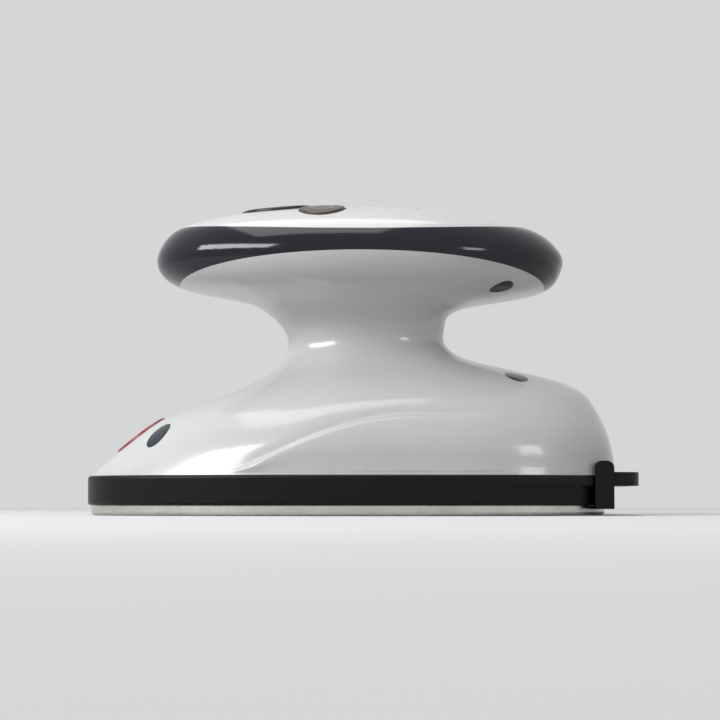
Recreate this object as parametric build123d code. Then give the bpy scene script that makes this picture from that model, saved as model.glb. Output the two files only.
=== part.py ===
from build123d import *
import os
from math import copysign, cos, hypot, pi, radians, sin, sqrt, tan

# Mini steam iron. Millimetres, +Z up, nose towards -X.
# The origin lies on the ironing surface, in the middle of the iron's length and width.

os.makedirs("parts", exist_ok=True)

# Overall sizes
overall_length = 140.0
base_width = 76.0
handle_top = 79.0
handle_length = 105.0
handle_width = 68.0
crown_depth = 13.6
waist_length = 40.2
waist_width = 31.0
waist_height = 45.0
waist_centre_x = 1.5

half_length = overall_length / 2
handle_middle_height = handle_top - crown_depth

# Walls, gaps and cutting allowance
housing_wall = 2.2
seam_gap = 0.25
running_gap = 0.05
button_gap = 0.35
overrun = 1.0

# Curves of the outlines seen from above: two is an ellipse, more is squarer
nose_power = 2.1
tail_power = 2.7
handle_power = 2.15
points_round = 24

# Housing levels from the foot up to the waist.
# Each row: share of the height, then shares of the way from the waist's size to the foot's size
# for the front, the tail and the half width.
body_level_shares = [
    (0.000, 1.000, 1.000, 1.000),
    (0.171, 0.869, 0.984, 0.960),
    (0.314, 0.747, 0.954, 0.892),
    (0.443, 0.600, 0.908, 0.775),
    (0.543, 0.425, 0.862, 0.640),
    (0.614, 0.286, 0.808, 0.522),
    (0.686, 0.177, 0.690, 0.384),
    (0.751, 0.101, 0.493, 0.253),
    (0.809, 0.052, 0.286, 0.151),
    (0.857, 0.022, 0.136, 0.087),
    (0.929, 0.002, 0.034, 0.024),
]
# Handle bowl levels from the waist up to the handle's widest level, the same way.
bowl_level_shares = [
    (0.000, 0.000, 0.000, 0.000),
    (0.147, 0.038, 0.008, 0.027),
    (0.294, 0.118, 0.033, 0.140),
    (0.412, 0.218, 0.165, 0.290),
    (0.490, 0.335, 0.440, 0.455),
    (0.564, 0.540, 0.710, 0.640),
    (0.637, 0.760, 0.865, 0.790),
    (0.735, 0.900, 0.940, 0.903),
    (0.873, 0.981, 0.984, 0.980),
    (1.000, 1.000, 1.000, 1.000),
]
# Handle crown levels: share of the height, then shares of the handle's half sizes.
crown_level_shares = [
    (0.250, 0.982, 0.966, 0.972),
    (0.470, 0.940, 0.900, 0.912),
    (0.640, 0.868, 0.785, 0.815),
    (0.772, 0.750, 0.660, 0.700),
    (0.862, 0.615, 0.530, 0.570),
    (0.925, 0.475, 0.410, 0.440),
    (0.970, 0.330, 0.290, 0.310),
    (1.000, 0.180, 0.160, 0.180),
]

# Heat-shield skirt with its heel rest
skirt_bottom = 2.5
skirt_top = 10.0
skirt_plate = 2.6
skirt_wall = 2.0
skirt_edge = 0.8
skirt_flange = 15.0
skirt_opening_tail_x = 34.0
band_tail_inset = 6.5
plate_tail_inset = 4.5
notch_length = 40.0
band_tail_x = half_length - band_tail_inset
plate_tail_x = half_length - plate_tail_inset
notch_x = half_length - notch_length
tongue_width = 46.0
tongue_rise = 0.8
tongue_thickness = 3.4
tongue_high = skirt_top + tongue_rise
tongue_low = tongue_high - tongue_thickness
tongue_corner = 7.0
lug_tail_inset = 0.4
lug_length = 4.7
lug_tail_x = band_tail_x - lug_tail_inset
lug_front_x = lug_tail_x - lug_length
lug_width = 8.0
lug_y = 20.0
lug_drop = 0.9
lug_rise = 3.6
lug_low = skirt_bottom - lug_drop
lug_high = skirt_top + lug_rise
lug_round = 1.8
foot_inset = 1.1
foot_tail_x = plate_tail_x

# Soleplate, its steam chamber and the vents
sole_inset = 0.9
sole_rim = 2.4
sole_top = 4.5
sole_edge = 0.9
chamber_floor = 3.2
chamber_rise = 1.0
chamber_top = skirt_top + chamber_rise
chamber_wall = 2.0
chamber_tail_x = -4.0
chamber_knee_x = -9.0
chamber_nose_x = -28.0
chamber_half_width = 11.5
chamber_nose_half_width = 4.0
chamber_corner = 1.5
vent_radius = 1.0
vent_flare = 0.8
vent_rows = 6
vent_first_x = -26.5
vent_pitch = 3.6
vent_first_y = 2.6
vent_spread_share = 0.36
boss_radius = 3.6
boss_top = skirt_top - skirt_plate
screw_thread_radius = 1.45
screw_shank_radius = 1.4
screw_depth = 5.0

# Steam chamber seal and lid
seal_height = 0.6
lid_height = 1.2
lid_port_radius = 2.4

# Heating element: a tube bent to a pointed U, clamped in a rib of the soleplate
element_radius = 3.25
element_height = 8.2
element_leg_y = 17.0
element_tail_x = 28.0
element_tail_top = 17.0
element_tail_bend = 5.0
element_knee_x = -8.0
element_nose_inset = 24.0
element_nose_x = element_nose_inset - half_length
element_nose_y = 5.0
element_bend = 9.0
rib_width = 9.0
rib_top = 8.6
rib_tail_x = 24.0
cold_pin_radius = 1.5
cold_pin_length = 8.0
insulator_radius = 2.7
insulator_length = 3.0

# Thermostat, its bush, and the thermal fuse
thermostat_length = 11.5
thermostat_width = 12.0
thermostat_top = 13.0
thermostat_foot = 1.2
thermostat_foot_length = 14.0
bush_radius = 3.6
bush_top = 20.0
bush_floor = 14.0
fuse_x = 22.0
fuse_radius = 2.2
fuse_length = 12.0
fuse_clamp_wall = 0.8
fuse_clamp_width = 7.0
fuse_clamp_foot = 5.0

# Temperature dial, its well and its spindle
dial_radius = 13.2
dial_drop = 1.1
dial_grip_height = 1.5
dial_thickness = 2.3
dial_grip_top = handle_top - dial_drop
dial_rim = dial_grip_top - dial_grip_height
dial_low = dial_rim - dial_thickness
dial_grip_width = 5.0
dial_grip_round = 1.2
dial_edge = 0.4
dial_notches = 24
dial_notch_radius = 0.9
well_gap = 0.8
well_floor_gap = 0.5
well_wall = 1.6
well_radius = dial_radius + well_gap
well_floor = dial_low - well_floor_gap
well_plate = 1.8
well_edge = 0.5
spindle_radius = 2.0
spindle_collar = 0.45

# Steam button and the valve below it
steam_x = -21.0
steam_half_length = 9.8
steam_half_width = 12.0
steam_gap = 1.8
dial_x = steam_x + steam_half_length + steam_gap + well_wall + well_radius
thermostat_x = dial_x
steam_proud = 0.8
steam_edge = 0.6
steam_wall = 1.8
steam_lip = 1.1
steam_lip_drop = 6.4
steam_lip_height = 1.4
steam_lip_high = handle_top - steam_lip_drop
steam_lip_low = steam_lip_high - steam_lip_height
collar_wall = 1.3
rod_x = -13.8
rod_radius = 1.5
rod_socket = 3.3
rod_boss_radius = 2.3
rod_boss_drop = 3.0
rod_boss_low = steam_lip_low - rod_boss_drop
rod_top = rod_boss_low + rod_socket
rod_bottom = 19.8
needle_radius = 1.1
needle_reach = 0.3

# Pair of round buttons, one on each side
side_x = -9.5
side_y = 20.0
side_radius = 5.7
side_proud = 0.6
side_edge = 0.4
side_wall = 1.6
side_lip = 1.0
side_lip_drop = 7.5
side_lip_height = 1.3
side_lip_high = handle_top - side_lip_drop
side_lip_low = side_lip_high - side_lip_height
side_stem_radius = 1.6
side_stem_gap = 1.5

# Indicator lamps
lamp_x = -1.0
lamp_y = 17.6
lamp_radius = 1.2
lamp_depth = 4.0

# Control carrier in the handle, its posts, switches and springs
carrier_drop = 15.0
carrier_plate = 2.0
carrier_high = handle_top - carrier_drop
carrier_low = carrier_high - carrier_plate
carrier_half_length = 36.0
carrier_half_width = 25.5
carrier_post_x = 30.0
carrier_post_y = 12.0
carrier_post_radius = 3.2
switch_size = 7.0
switch_height = 2.9
switch_top = carrier_high + switch_height
side_stem_low = switch_top + side_stem_gap
steam_spring_x = -23.0
steam_spring_radius = 4.4
steam_spring_wire = 0.5
steam_spring_turns = 4
steam_boss_radius = 5.2
side_spring_radius = 2.9
side_spring_wire = 0.4
side_spring_turns = 4
side_boss_radius = 3.6
side_boss_lift = 0.5
side_boss_low = side_lip_high + side_boss_lift
wire_hole_radius = 1.7
spring_sides = 6

# Screws under plugs
nose_plug_share = 50.6 / 68.9
nose_plug_y = 17.0
tail_plug_x = 39.5
tail_plug_y = 15.0
grip_plug_x = 35.5
grip_plug_y = 19.0
plug_radius = 3.0
plug_depth = 2.0
plug_post_radius = 4.6
plug_post_floor = 3.0
head_radius = 2.6
head_height = 1.8
grip_seat_drop = 15.4
grip_post_roof = 2.4
grip_boss_height = 5.0
grip_screw_gap = 0.6
grip_seat = handle_top - grip_seat_drop
grip_post_top = grip_seat + grip_post_roof
grip_boss_top = grip_post_top + grip_boss_height
grip_screw_top = grip_boss_top - grip_screw_gap

# Water tank, filler and drip nozzle
tank_gap = 1.0
tank_wall = 1.4
tank_lift = 1.4
tank_depth = 20.8
tank_tail_x = -5.0
tank_front_setback = 12.6
tank_nose_reach = 1.9
tank_snout_width = 22.0
filler_rise = 10.7
filler_front_share = 38 / 50.3
filler_slope = 39.0
filler_bore = 3.6
filler_neck_wall = 1.2
filler_neck_depth = 6.0
filler_head_half_length = 7.6
filler_head_half_width = 6.2
filler_recess = 1.2
filler_clearance = 0.3
filler_proud = 0.5
filler_edge = 0.6
filler_spigot = 3.2
filler_spigot_depth = 3.6
filler_ring_radius = 4.6
filler_ring_height = 0.8
nozzle_radius = 3.0
nozzle_flange_radius = 5.6
nozzle_flange = 1.2
nozzle_bore = 1.15
nozzle_drop = 1.0
grommet_radius = 4.0
grommet_height = 1.6
grommet_waist_radius = 2.8

# Terminal block, cord clamp and inner wires
block_x = 40.5
block_length = 10.0
block_width = 17.0
block_height = 11.0
block_way_pitch = 5.5
block_screw_radius = 1.5
block_screw_depth = 3.0
block_round = 0.8
wire_radius = 1.1
wire_sides = 8
wire_bend = 2.6
pin_wire_rise = 8.0
fuse_wire_rise = 5.5
fuse_wire_x = 31.2
switch_wire_rise = 7.0
switch_wire_x = 13.5
switch_wire_y = 7.0
switch_wire_low = 38.0
switch_wire_turn = 5.5
switch_wire_lead = 3.4

# Cord exit: the bend relief leaves the far rear quarter, a little downwards
exit_point = (51.0, 16.5, 25.0)
exit_heading = (0.25, 0.93, -0.27)
relief_length = 30.0
relief_root_radius = 5.6
relief_tip_wall = 1.05
relief_flange_radius = 7.4
relief_flange = 1.6
relief_rings = 6
relief_ring_groove = 0.7
relief_ring_width = 1.5
relief_ring_start = 9.5
relief_ring_pitch = 3.0
stub_length = 8.0
saddle_share = 0.7
saddle_length = 6.0
saddle_width = 5.0
saddle_top = 26.5
cord_diameter = 6.5
relief_tip_radius = cord_diameter / 2 + relief_tip_wall

# Free cord: route points from the relief to the coil, and from the coil to the plug
cord_route = [
    (58.50, 44.40, 16.90),
    (60.90, 53.33, 14.31),
    (61.00, 64.00, 9.90),
    (57.60, 75.50, 5.00),
    (56.00, 87.00, 3.25),
    (56.00, 97.00, 3.25),
]
lead_route = [
    (52.50, 97.00, 10.25),
    (52.50, 109.00, 10.25),
    (54.00, 123.50, 10.25),
    (54.00, 138.50, 7.20),
    (48.76, 151.50, 3.90),
    (38.69, 161.20, 3.25),
    (25.53, 166.00, 3.25),
    (13.60, 166.00, 4.95),
    (2.20, 166.00, 8.25),
]
coil_centre_x = 5.5
coil_centre_y = 97.0
coil_outer_radius = 50.5
coil_inner_radius = 26.0
coil_gap = 0.5
coil_pitch = cord_diameter + coil_gap
coil_lift = coil_pitch
coil_turns_out = 3
climb_turns = 0.5
samples_per_turn = 4
gap_samples_per_turn = 40
way_step_share = 1e-4
bend_share = 0.45
coil_sides = 8

# Mains plug at the cord's end
mains_profile = [
    (0.0, cord_diameter / 2 + relief_tip_wall),
    (16.0, 5.6),
    (19.0, 9.0),
    (27.0, 14.6),
    (34.0, 18.3),
    (46.5, 18.3),
    (48.0, 17.4),
]
pin_radius = 2.4
pin_length = 19.0
pin_spacing = 19.0
pin_tip_round = 1.2
earth_hole_radius = 2.5
earth_hole_offset = 6.5
earth_hole_depth = 10.0
clip_slot_width = 7.0
clip_slot_depth = 2.6
clip_slot_length = 13.0
clip_width = 5.6
clip_thickness = 0.7


def between(start, end, share):
    return start + (end - start) * share


foot_front = half_length - foot_inset
foot_half_width = base_width / 2 - foot_inset
waist_front = waist_length / 2 - waist_centre_x
waist_tail = waist_length / 2 + waist_centre_x
nose_plug_x = -foot_front * nose_plug_share
filler_x = -between(waist_front, foot_front, filler_front_share)
filler_z = skirt_top + filler_rise
tank_front_x = filler_x + tank_front_setback
tank_nose_x = filler_x - tank_nose_reach
tank_bottom = chamber_top + seal_height + lid_height + tank_lift
tank_top = tank_bottom + tank_depth
nozzle_bottom = tank_bottom - nozzle_drop
needle_bottom = nozzle_bottom - needle_reach
neck_top = -filler_recess - filler_ring_height
block_top = skirt_top + block_height
mains_face = mains_profile[-1][0]
turns_in = (coil_outer_radius - coil_inner_radius) / coil_pitch
coil_turns = turns_in + climb_turns + coil_turns_out


standing = (Align.CENTER, Align.CENTER, Align.MIN)
up = Vector(0, 0, 1)


def side_levels():
    """Levels of the outer form from the foot to the handle's widest level.

    Each row: height, front, tail and half width measured from the origin, and the tail's power.
    """
    rows = []
    for high, front, tail, wide in body_level_shares:
        rows.append((
            between(skirt_top, waist_height, high),
            between(waist_front, foot_front, front),
            between(waist_tail, foot_tail_x, tail),
            between(waist_width / 2, foot_half_width, wide),
            between(handle_power, tail_power, wide),
        ))
    for high, front, tail, wide in bowl_level_shares:
        rows.append((
            between(waist_height, handle_middle_height, high),
            between(waist_front, handle_length / 2, front),
            between(waist_tail, handle_length / 2, tail),
            between(waist_width / 2, handle_width / 2, wide),
            handle_power,
        ))
    return rows


def form(depth, low):
    """The moulded outside, drawn in by a depth measured square to its surface."""
    rows = side_levels()
    rings = []
    for index, row in enumerate(rows):
        below = rows[max(index - 1, 0)]
        above = rows[min(index + 1, len(rows) - 1)]
        sizes = []
        for size in (1, 2, 3):
            slope = (above[size] - below[size]) / (above[0] - below[0])
            lean = 1 if row is rows[-1] else sqrt(1 + slope * slope)
            sizes.append(row[size] - depth * lean)
        if low < row[0] and not rings:
            rings.append(outline(low, *sizes, row[4]))
        rings.append(outline(row[0], *sizes, row[4]))
    for high, front, tail, wide in crown_level_shares:
        rings.append(outline(
            between(handle_middle_height, handle_top - depth, high),
            (handle_length / 2 - depth) * front,
            (handle_length / 2 - depth) * tail,
            (handle_width / 2 - depth) * wide,
            handle_power,
        ))
    return Solid.make_loft(rings)


def outline(height, front, tail, half_width, power, inset=0.0):
    """A closed smooth line round the iron at one height, pulled in by an inset."""
    points = []
    for index in range(points_round):
        turn = 2 * pi * index / points_round
        along, across = cos(turn), sin(turn)
        bend = power if along > 0 else min(power, nose_power)
        reach = tail - inset if along > 0 else front - inset
        x = copysign(reach * abs(along) ** (2 / bend), along)
        y = copysign((half_width - inset) * abs(across) ** (2 / bend), across)
        points.append((x, y, height))
    marks = [index / points_round for index in range(points_round + 1)]
    return Wire([Edge.make_spline(points, periodic=True, parameters=marks)])


def plan(tail, inset, low, high):
    """An upright slab with the iron's outline seen from above."""
    ring = outline(low, half_length, tail, base_width / 2, tail_power, inset)
    return extrude(Face(ring), high - low)


def upright(radius, low, high, x=0.0, y=0.0):
    """A vertical round bar between two heights."""
    return Pos(x, y, low) * Cylinder(radius, high - low, align=standing)


def upright_oval(half_x, half_y, low, high, x=0.0):
    return extrude(Pos(x, 0, low) * Ellipse(half_x, half_y), high - low)


def block(x_low, x_high, y_low, y_high, low, high):
    size = (x_high - x_low, y_high - y_low, high - low)
    return Pos(x_low, y_low, low) * Box(*size, align=(Align.MIN, Align.MIN, Align.MIN))


def save(node, *shapes):
    solids = [solid for shape in shapes for solid in shape.solids()]
    export_step(solids[0] if len(solids) == 1 else Compound(children=solids), f"parts/{node}.step")


def swept(path, radius, sides=0):
    """A bar along a path of lines and arcs: round, or with flat sides where many turns repeat."""
    wire = path if isinstance(path, Wire) else Wire(path.edges())
    start = Plane(origin=wire @ 0, z_dir=wire % 0)
    section = RegularPolygon(radius, sides) if sides else Circle(radius)
    return sweep(start * section, path=wire)


outer = form(0, skirt_top)
inner = form(housing_wall, skirt_top - overrun)
shell = outer - inner

# The dark ring's lower edge is half an ellipse seen from the side, its upper edge a shallow dish
ring_low_drop = 22.0
ring_low_rise = 8.2
ring_low_inset = 5.0
ring_middle_drop = 8.2
ring_tips_drop = 2.2
ring_low_height = handle_top - ring_low_drop
ring_low_reach = handle_length / 2 - ring_low_inset
ring_high_middle = handle_top - ring_middle_drop
ring_high_tips = handle_top - ring_tips_drop
wide = base_width
long = overall_length
below_ring = extrude(
    Pos(0, wide, ring_low_height) * Rot(90, 0, 0) * Ellipse(ring_low_reach, ring_low_rise), 2 * wide
)
below_ring = below_ring + block(-long, long, -wide, wide, -overrun, ring_low_height)
dish_line = ThreePointArc(
    (-half_length, wide, ring_high_tips), (0, wide, ring_high_middle), (half_length, wide, ring_high_tips)
)
dish_sides = Polyline(
    (half_length, wide, ring_high_tips),
    (half_length, wide, 2 * handle_top),
    (-half_length, wide, 2 * handle_top),
    (-half_length, wide, ring_high_tips),
)
above_ring = extrude(make_face(dish_line.edges() + dish_sides.edges()), 2 * wide, dir=(0, -1, 0))

# Screw places: upright bores from the surface down to a floor, closed by plugs
plug_floor = skirt_top + plug_post_floor
base_screw_places = [(nose_plug_x, nose_plug_y), (tail_plug_x, tail_plug_y)]


def rounded_cap(solid, axis, radius):
    """A cap with the edge of its outermost face rounded."""
    face = max(solid.faces(), key=lambda each: each.center().dot(axis))
    return fillet(face.edges(), radius)


def surface_plugs(x, y, low, high, depth):
    """A pair of caps that fill the mouths of screw bores, flush with the outside."""
    return [
        (upright(plug_radius, low, high, x, side * y) & outer) - Pos(0, 0, depth) * outer
        for side in (-1, 1)
    ]


def screws(places, seat, tip):
    """Screws with their heads' undersides on a seat; the tips lie below or above it."""
    top = seat + head_height if tip < seat else seat - head_height
    heads = pairs(places, head_radius, min(seat, top), max(seat, top))
    shanks = pairs(places, screw_shank_radius, min(seat, tip), max(seat, tip))
    return [head + shank for head, shank in zip(heads, shanks)]


# Filler: everything on the nose slope's own axis
filler_plane = Plane(
    origin=(filler_x, 0, filler_z),
    x_dir=(cos(radians(filler_slope)), 0, sin(radians(filler_slope))),
    z_dir=(-sin(radians(filler_slope)), 0, cos(radians(filler_slope))),
)


def on_slope(sketch, low, high):
    """A prism square to the nose slope, between two depths measured from its surface."""
    return extrude(filler_plane * Pos(0, 0, low) * sketch, high - low)


# Cord exit axis
exit_plane = Plane(origin=exit_point, z_dir=exit_heading)


# The handle's dark ring before its screw bosses are added
bare_ring = (shell - below_ring) - above_ring

carrier_places = [
    (-carrier_post_x, carrier_post_y),
    (carrier_post_x, carrier_post_y),
]


def pairs(places, radius, low, high):
    """Upright bars at each place and at its mirror image across the middle plane."""
    return [upright(radius, low, high, x, side * y) for x, y in places for side in (-1, 1)]


def housing():
    posts = Part() + pairs(base_screw_places, plug_post_radius, skirt_top, waist_height)
    posts = posts + pairs([(grip_plug_x, grip_plug_y)], plug_post_radius, waist_height, grip_post_top)
    posts = posts + pairs(carrier_places, carrier_post_radius, waist_height, carrier_low)
    body = (shell & below_ring) + ((posts & outer) - bare_ring)
    holes = pairs(base_screw_places, plug_radius, plug_floor, waist_height)
    holes += pairs(base_screw_places, screw_thread_radius, skirt_top - overrun, waist_height)
    holes += pairs([(grip_plug_x, grip_plug_y)], plug_radius, waist_height, grip_seat)
    holes += pairs([(grip_plug_x, grip_plug_y)], screw_thread_radius, waist_height, handle_top)
    holes += pairs(carrier_places, screw_thread_radius, carrier_low - screw_depth, carrier_low + overrun)
    body = body - holes
    neck_hole = Circle(filler_bore + filler_neck_wall + seam_gap)
    body = body - on_slope(neck_hole, -2 * filler_neck_depth, overrun)
    recess = Ellipse(filler_head_half_length + filler_clearance, filler_head_half_width + filler_clearance)
    body = body - on_slope(recess, -filler_recess, 2 * filler_recess)
    return body - exit_bar(relief_root_radius, -stub_length, relief_length)


def handle_ring():
    bosses = Part() + pairs([(grip_plug_x, grip_plug_y)], plug_post_radius, grip_post_top, grip_boss_top)
    ring = bare_ring + (bosses & outer)
    return ring - pairs([(grip_plug_x, grip_plug_y)], screw_thread_radius, waist_height, grip_screw_top)


def handle_cover():
    """The white top with the dial's well and collars round the buttons."""
    walls = upright(well_radius + well_wall, well_floor - well_plate, handle_top, dial_x)
    rim = button_gap + collar_wall
    collar_low = steam_lip_high + seam_gap
    walls = walls + upright_oval(
        steam_half_length + rim, steam_half_width + rim, collar_low, handle_top, steam_x
    )
    walls = walls + pairs([(side_x, side_y)], side_radius + rim, side_lip_high + seam_gap, handle_top)
    cover = (shell & above_ring) + (walls & outer)
    top = handle_top + overrun
    holes = [
        upright(well_radius, well_floor, top, dial_x),
        upright(spindle_radius + running_gap, waist_height, top, dial_x),
        upright_oval(
            steam_half_length + button_gap, steam_half_width + button_gap, waist_height, top, steam_x
        ),
    ]
    holes += pairs([(side_x, side_y)], side_radius + button_gap, waist_height, top)
    holes += pairs([(lamp_x, lamp_y)], lamp_radius, waist_height, top)
    cover = cover - holes
    mouth = [
        edge for edge in cover.edges()
        if (edge @ 0).Z > dial_rim
        and abs(hypot((edge @ 0).X - dial_x, (edge @ 0).Y) - well_radius) < well_edge / 2
    ]
    return fillet(mouth, well_edge)


def skirt():
    solid = plan(plate_tail_x, 0, skirt_bottom, skirt_top)
    rims = solid.edges().filter_by(lambda edge: edge.bounding_box().size.Z < skirt_edge / 2)
    solid = fillet(rims, skirt_edge)
    notch = block(notch_x, long, -wide, wide, -overrun, tongue_low)
    solid = solid - (notch - plan(band_tail_x, 0, -overrun, handle_top))
    solid = solid - plan(band_tail_x, skirt_wall, skirt_bottom - overrun, skirt_top - skirt_plate)
    opening = plan(band_tail_x, skirt_flange, 0, skirt_top + overrun)
    solid = solid - (opening & block(-long, skirt_opening_tail_x, -wide, wide, 0, handle_top))
    half = tongue_width / 2
    tongue = block(lug_front_x, half_length, -half, half, tongue_low, tongue_high)
    tongue = fillet(tongue.edges().filter_by(Axis.Z).group_by(Axis.X)[-1], tongue_corner)
    solid = solid + (tongue - plan(band_tail_x, skirt_wall, 0, handle_top) - outer)
    hollow = plan(band_tail_x, skirt_wall, -overrun, skirt_top - skirt_plate)
    for side in (-1, 1):
        low_y = side * lug_y - lug_width / 2
        lug = block(lug_front_x, lug_tail_x, low_y, low_y + lug_width, lug_low, lug_high)
        lug = fillet(lug.edges().filter_by(Axis.Y).group_by(Axis.Z)[-1], lug_round)
        solid = solid + (lug - outer - hollow - plan(band_tail_x, sole_inset - seam_gap, 0, skirt_bottom))
    return solid - pairs(base_screw_places, screw_thread_radius, 0, skirt_top + overrun)


def element_path(turned_up):
    """The element's centre line; its tails turn up, or stop short for the rib that holds it."""
    tail = element_tail_x if turned_up else rib_tail_x
    points = [
        (tail, -element_leg_y, element_height),
        (element_knee_x, -element_leg_y, element_height),
        (element_nose_x, -element_nose_y, element_height),
        (element_nose_x, element_nose_y, element_height),
        (element_knee_x, element_leg_y, element_height),
        (tail, element_leg_y, element_height),
    ]
    nose_bend = element_nose_y - seam_gap
    bends = [element_bend, nose_bend, nose_bend, element_bend]
    if turned_up:
        points.insert(0, (tail, -element_leg_y, element_tail_top))
        points.append((tail, element_leg_y, element_tail_top))
        bends = [element_tail_bend] + bends + [element_tail_bend]
    return FilletPolyline(*points, radius=bends)


def chamber_plan(grow, low, high):
    """A slab with the steam chamber's outline, pointed towards the nose."""
    tail = chamber_tail_x + grow
    nose = chamber_nose_x - grow
    broad = chamber_half_width + grow
    narrow = chamber_nose_half_width + grow / 2
    points = [
        (tail, -broad, low),
        (chamber_knee_x, -broad, low),
        (nose, -narrow, low),
        (nose, narrow, low),
        (chamber_knee_x, broad, low),
        (tail, broad, low),
    ]
    slab = extrude(make_face(Polyline(*points, close=True)), high - low)
    return fillet(slab.edges().filter_by(Axis.Z), chamber_corner)


def soleplate():
    lower = plan(band_tail_x, sole_inset, 0, sole_rim)
    lower = fillet(lower.edges().group_by(Axis.Z)[0], sole_edge)
    solid = lower + plan(band_tail_x, skirt_wall + seam_gap, sole_rim, sole_top)
    rib = extrude(trace(element_path(False), rib_width), rib_top - sole_top)
    solid = solid + Pos(0, 0, sole_top - element_height) * rib
    solid = solid + chamber_plan(chamber_wall, sole_top, chamber_top)
    solid = solid + pairs(base_screw_places, boss_radius, sole_top, boss_top)
    solid = solid - chamber_plan(0, chamber_floor, chamber_top + overrun)
    solid = solid - swept(element_path(True), element_radius)
    holes = pairs(base_screw_places, screw_thread_radius, chamber_floor, boss_top + overrun)
    for index in range(vent_rows):
        x = vent_first_x + index * vent_pitch
        y = vent_first_y + index * vent_pitch * vent_spread_share
        holes += pairs([(x, y)], vent_radius, -overrun, chamber_floor + overrun)
        flare = Cone(vent_radius + vent_flare, vent_radius, vent_flare, align=standing)
        holes += [Pos(x, y, 0) * flare, Pos(x, -y, 0) * flare]
    return solid - holes


def element_tail_parts(radius, bore, length):
    """A round part on each upturned end of the element, with or without a bore."""
    low, high = element_tail_top, element_tail_top + length
    parts = []
    for y in (-element_leg_y, element_leg_y):
        part = upright(radius, low, high, element_tail_x, y)
        parts.append(part - upright(bore, low, high, element_tail_x, y) if bore else part)
    return parts


def pin_insulators():
    return element_tail_parts(insulator_radius, cold_pin_radius, insulator_length)


def chamber_seal():
    seal = chamber_plan(chamber_wall, chamber_top, chamber_top + seal_height)
    return seal - chamber_plan(0, 0, tank_bottom)


def chamber_lid():
    lid = chamber_plan(chamber_wall, chamber_top + seal_height, chamber_top + seal_height + lid_height)
    return lid - upright(lid_port_radius, chamber_top, tank_bottom, rod_x)


def thermostat():
    half = thermostat_length / 2
    foot = thermostat_foot_length / 2
    side = thermostat_width / 2
    case = block(thermostat_x - half, thermostat_x + half, -side, side, sole_top, thermostat_top)
    case = fillet(case.edges().filter_by(Axis.Z), thermostat_foot)
    base = block(
        thermostat_x - foot, thermostat_x + foot, -side / 2, side / 2, sole_top, sole_top + thermostat_foot
    )
    bush = upright(bush_radius, thermostat_top, bush_top, thermostat_x)
    bore = upright(spindle_radius + running_gap, bush_floor, bush_top + overrun, thermostat_x)
    return case + base + bush - bore


def thermal_fuse():
    line = Pos(fuse_x, 0, sole_top + fuse_radius) * Rot(0, 90, 0)
    return line * Cylinder(fuse_radius, fuse_length)


def fuse_clamp():
    outer_radius = fuse_radius + fuse_clamp_wall
    line = Pos(fuse_x, 0, sole_top + fuse_radius) * Rot(0, 90, 0)
    half = fuse_clamp_width / 2
    left, right = fuse_x - half, fuse_x + half
    strap = line * Cylinder(outer_radius, fuse_clamp_width)
    strap = strap + block(left, right, -outer_radius, outer_radius, sole_top, sole_top + fuse_radius)
    reach = outer_radius + fuse_clamp_foot
    strap = strap + block(left, right, -reach, reach, sole_top, sole_top + fuse_clamp_wall)
    strap = strap & block(left, right, -reach, reach, sole_top, waist_height)
    legs = block(left, right, -fuse_radius, fuse_radius, sole_top, sole_top + fuse_radius)
    return strap - line * Cylinder(fuse_radius, fuse_clamp_width) - legs


def dial():
    """The turning knob: a notched rim and a rounded finger bar with a pointer groove."""
    knob = upright(dial_radius, dial_low, dial_rim, dial_x)
    knob = fillet(knob.edges().group_by(Axis.Z)[-1], dial_edge)
    notches = []
    for index in range(dial_notches):
        angle = 2 * pi * index / dial_notches
        x = dial_x + dial_radius * cos(angle)
        y = dial_radius * sin(angle)
        notches.append(upright(dial_notch_radius, dial_low - overrun, dial_rim + overrun, x, y))
    knob = knob - notches
    half = dial_grip_width / 2
    reach = dial_radius - dial_grip_width / 2
    bar = block(dial_x - reach, dial_x + reach, -half, half, dial_rim, dial_grip_top)
    bar = fillet(bar.edges().group_by(Axis.Z)[-1], dial_grip_round)
    knob = knob + bar
    return knob - upright(spindle_radius, dial_low - overrun, dial_rim - spindle_collar, dial_x)


def dial_spindle():
    return upright(spindle_radius, bush_floor + running_gap, dial_rim - spindle_collar, dial_x)


def steam_button():
    """The oval cap with its lip, its spring boss and the boss that drives the valve rod."""
    top = handle_top + 2 * overrun
    column = upright_oval(steam_half_length, steam_half_width, steam_lip_low, top, steam_x)
    cap = column & (Pos(0, 0, steam_proud) * outer)
    bore = upright_oval(
        steam_half_length - steam_wall, steam_half_width - steam_wall, waist_height, top, steam_x
    )
    roof = Pos(0, 0, steam_proud - steam_wall) * outer
    cap = cap - (bore & roof)
    lip = upright_oval(
        steam_half_length + steam_lip, steam_half_width + steam_lip, steam_lip_low, steam_lip_high, steam_x
    )
    cap = cap + (lip - bore)
    posts = upright(steam_boss_radius, steam_lip_low, top, steam_spring_x)
    posts = posts + upright(rod_boss_radius, rod_boss_low, top, rod_x)
    cap = cap + (posts & roof & bore)
    cap = cap - upright(rod_radius, waist_height, rod_top, rod_x)
    return rounded_cap(cap, up, steam_edge)


def side_button(side):
    """A round cap with its lip, its spring boss and the stem that works the switch."""
    top = handle_top + 2 * overrun
    y = side * side_y
    column = upright(side_radius, side_lip_low, top, side_x, y)
    cap = column & (Pos(0, 0, side_proud) * outer)
    bore = upright(side_radius - side_wall, waist_height, top, side_x, y)
    roof = Pos(0, 0, side_proud - side_wall) * outer
    cap = cap - (bore & roof)
    cap = cap + (upright(side_radius + side_lip, side_lip_low, side_lip_high, side_x, y) - bore)
    posts = upright(side_boss_radius, side_boss_low, top, side_x, y)
    posts = posts + upright(side_stem_radius, side_stem_low, top, side_x, y)
    return rounded_cap(cap + (posts & roof), up, side_edge)


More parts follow.
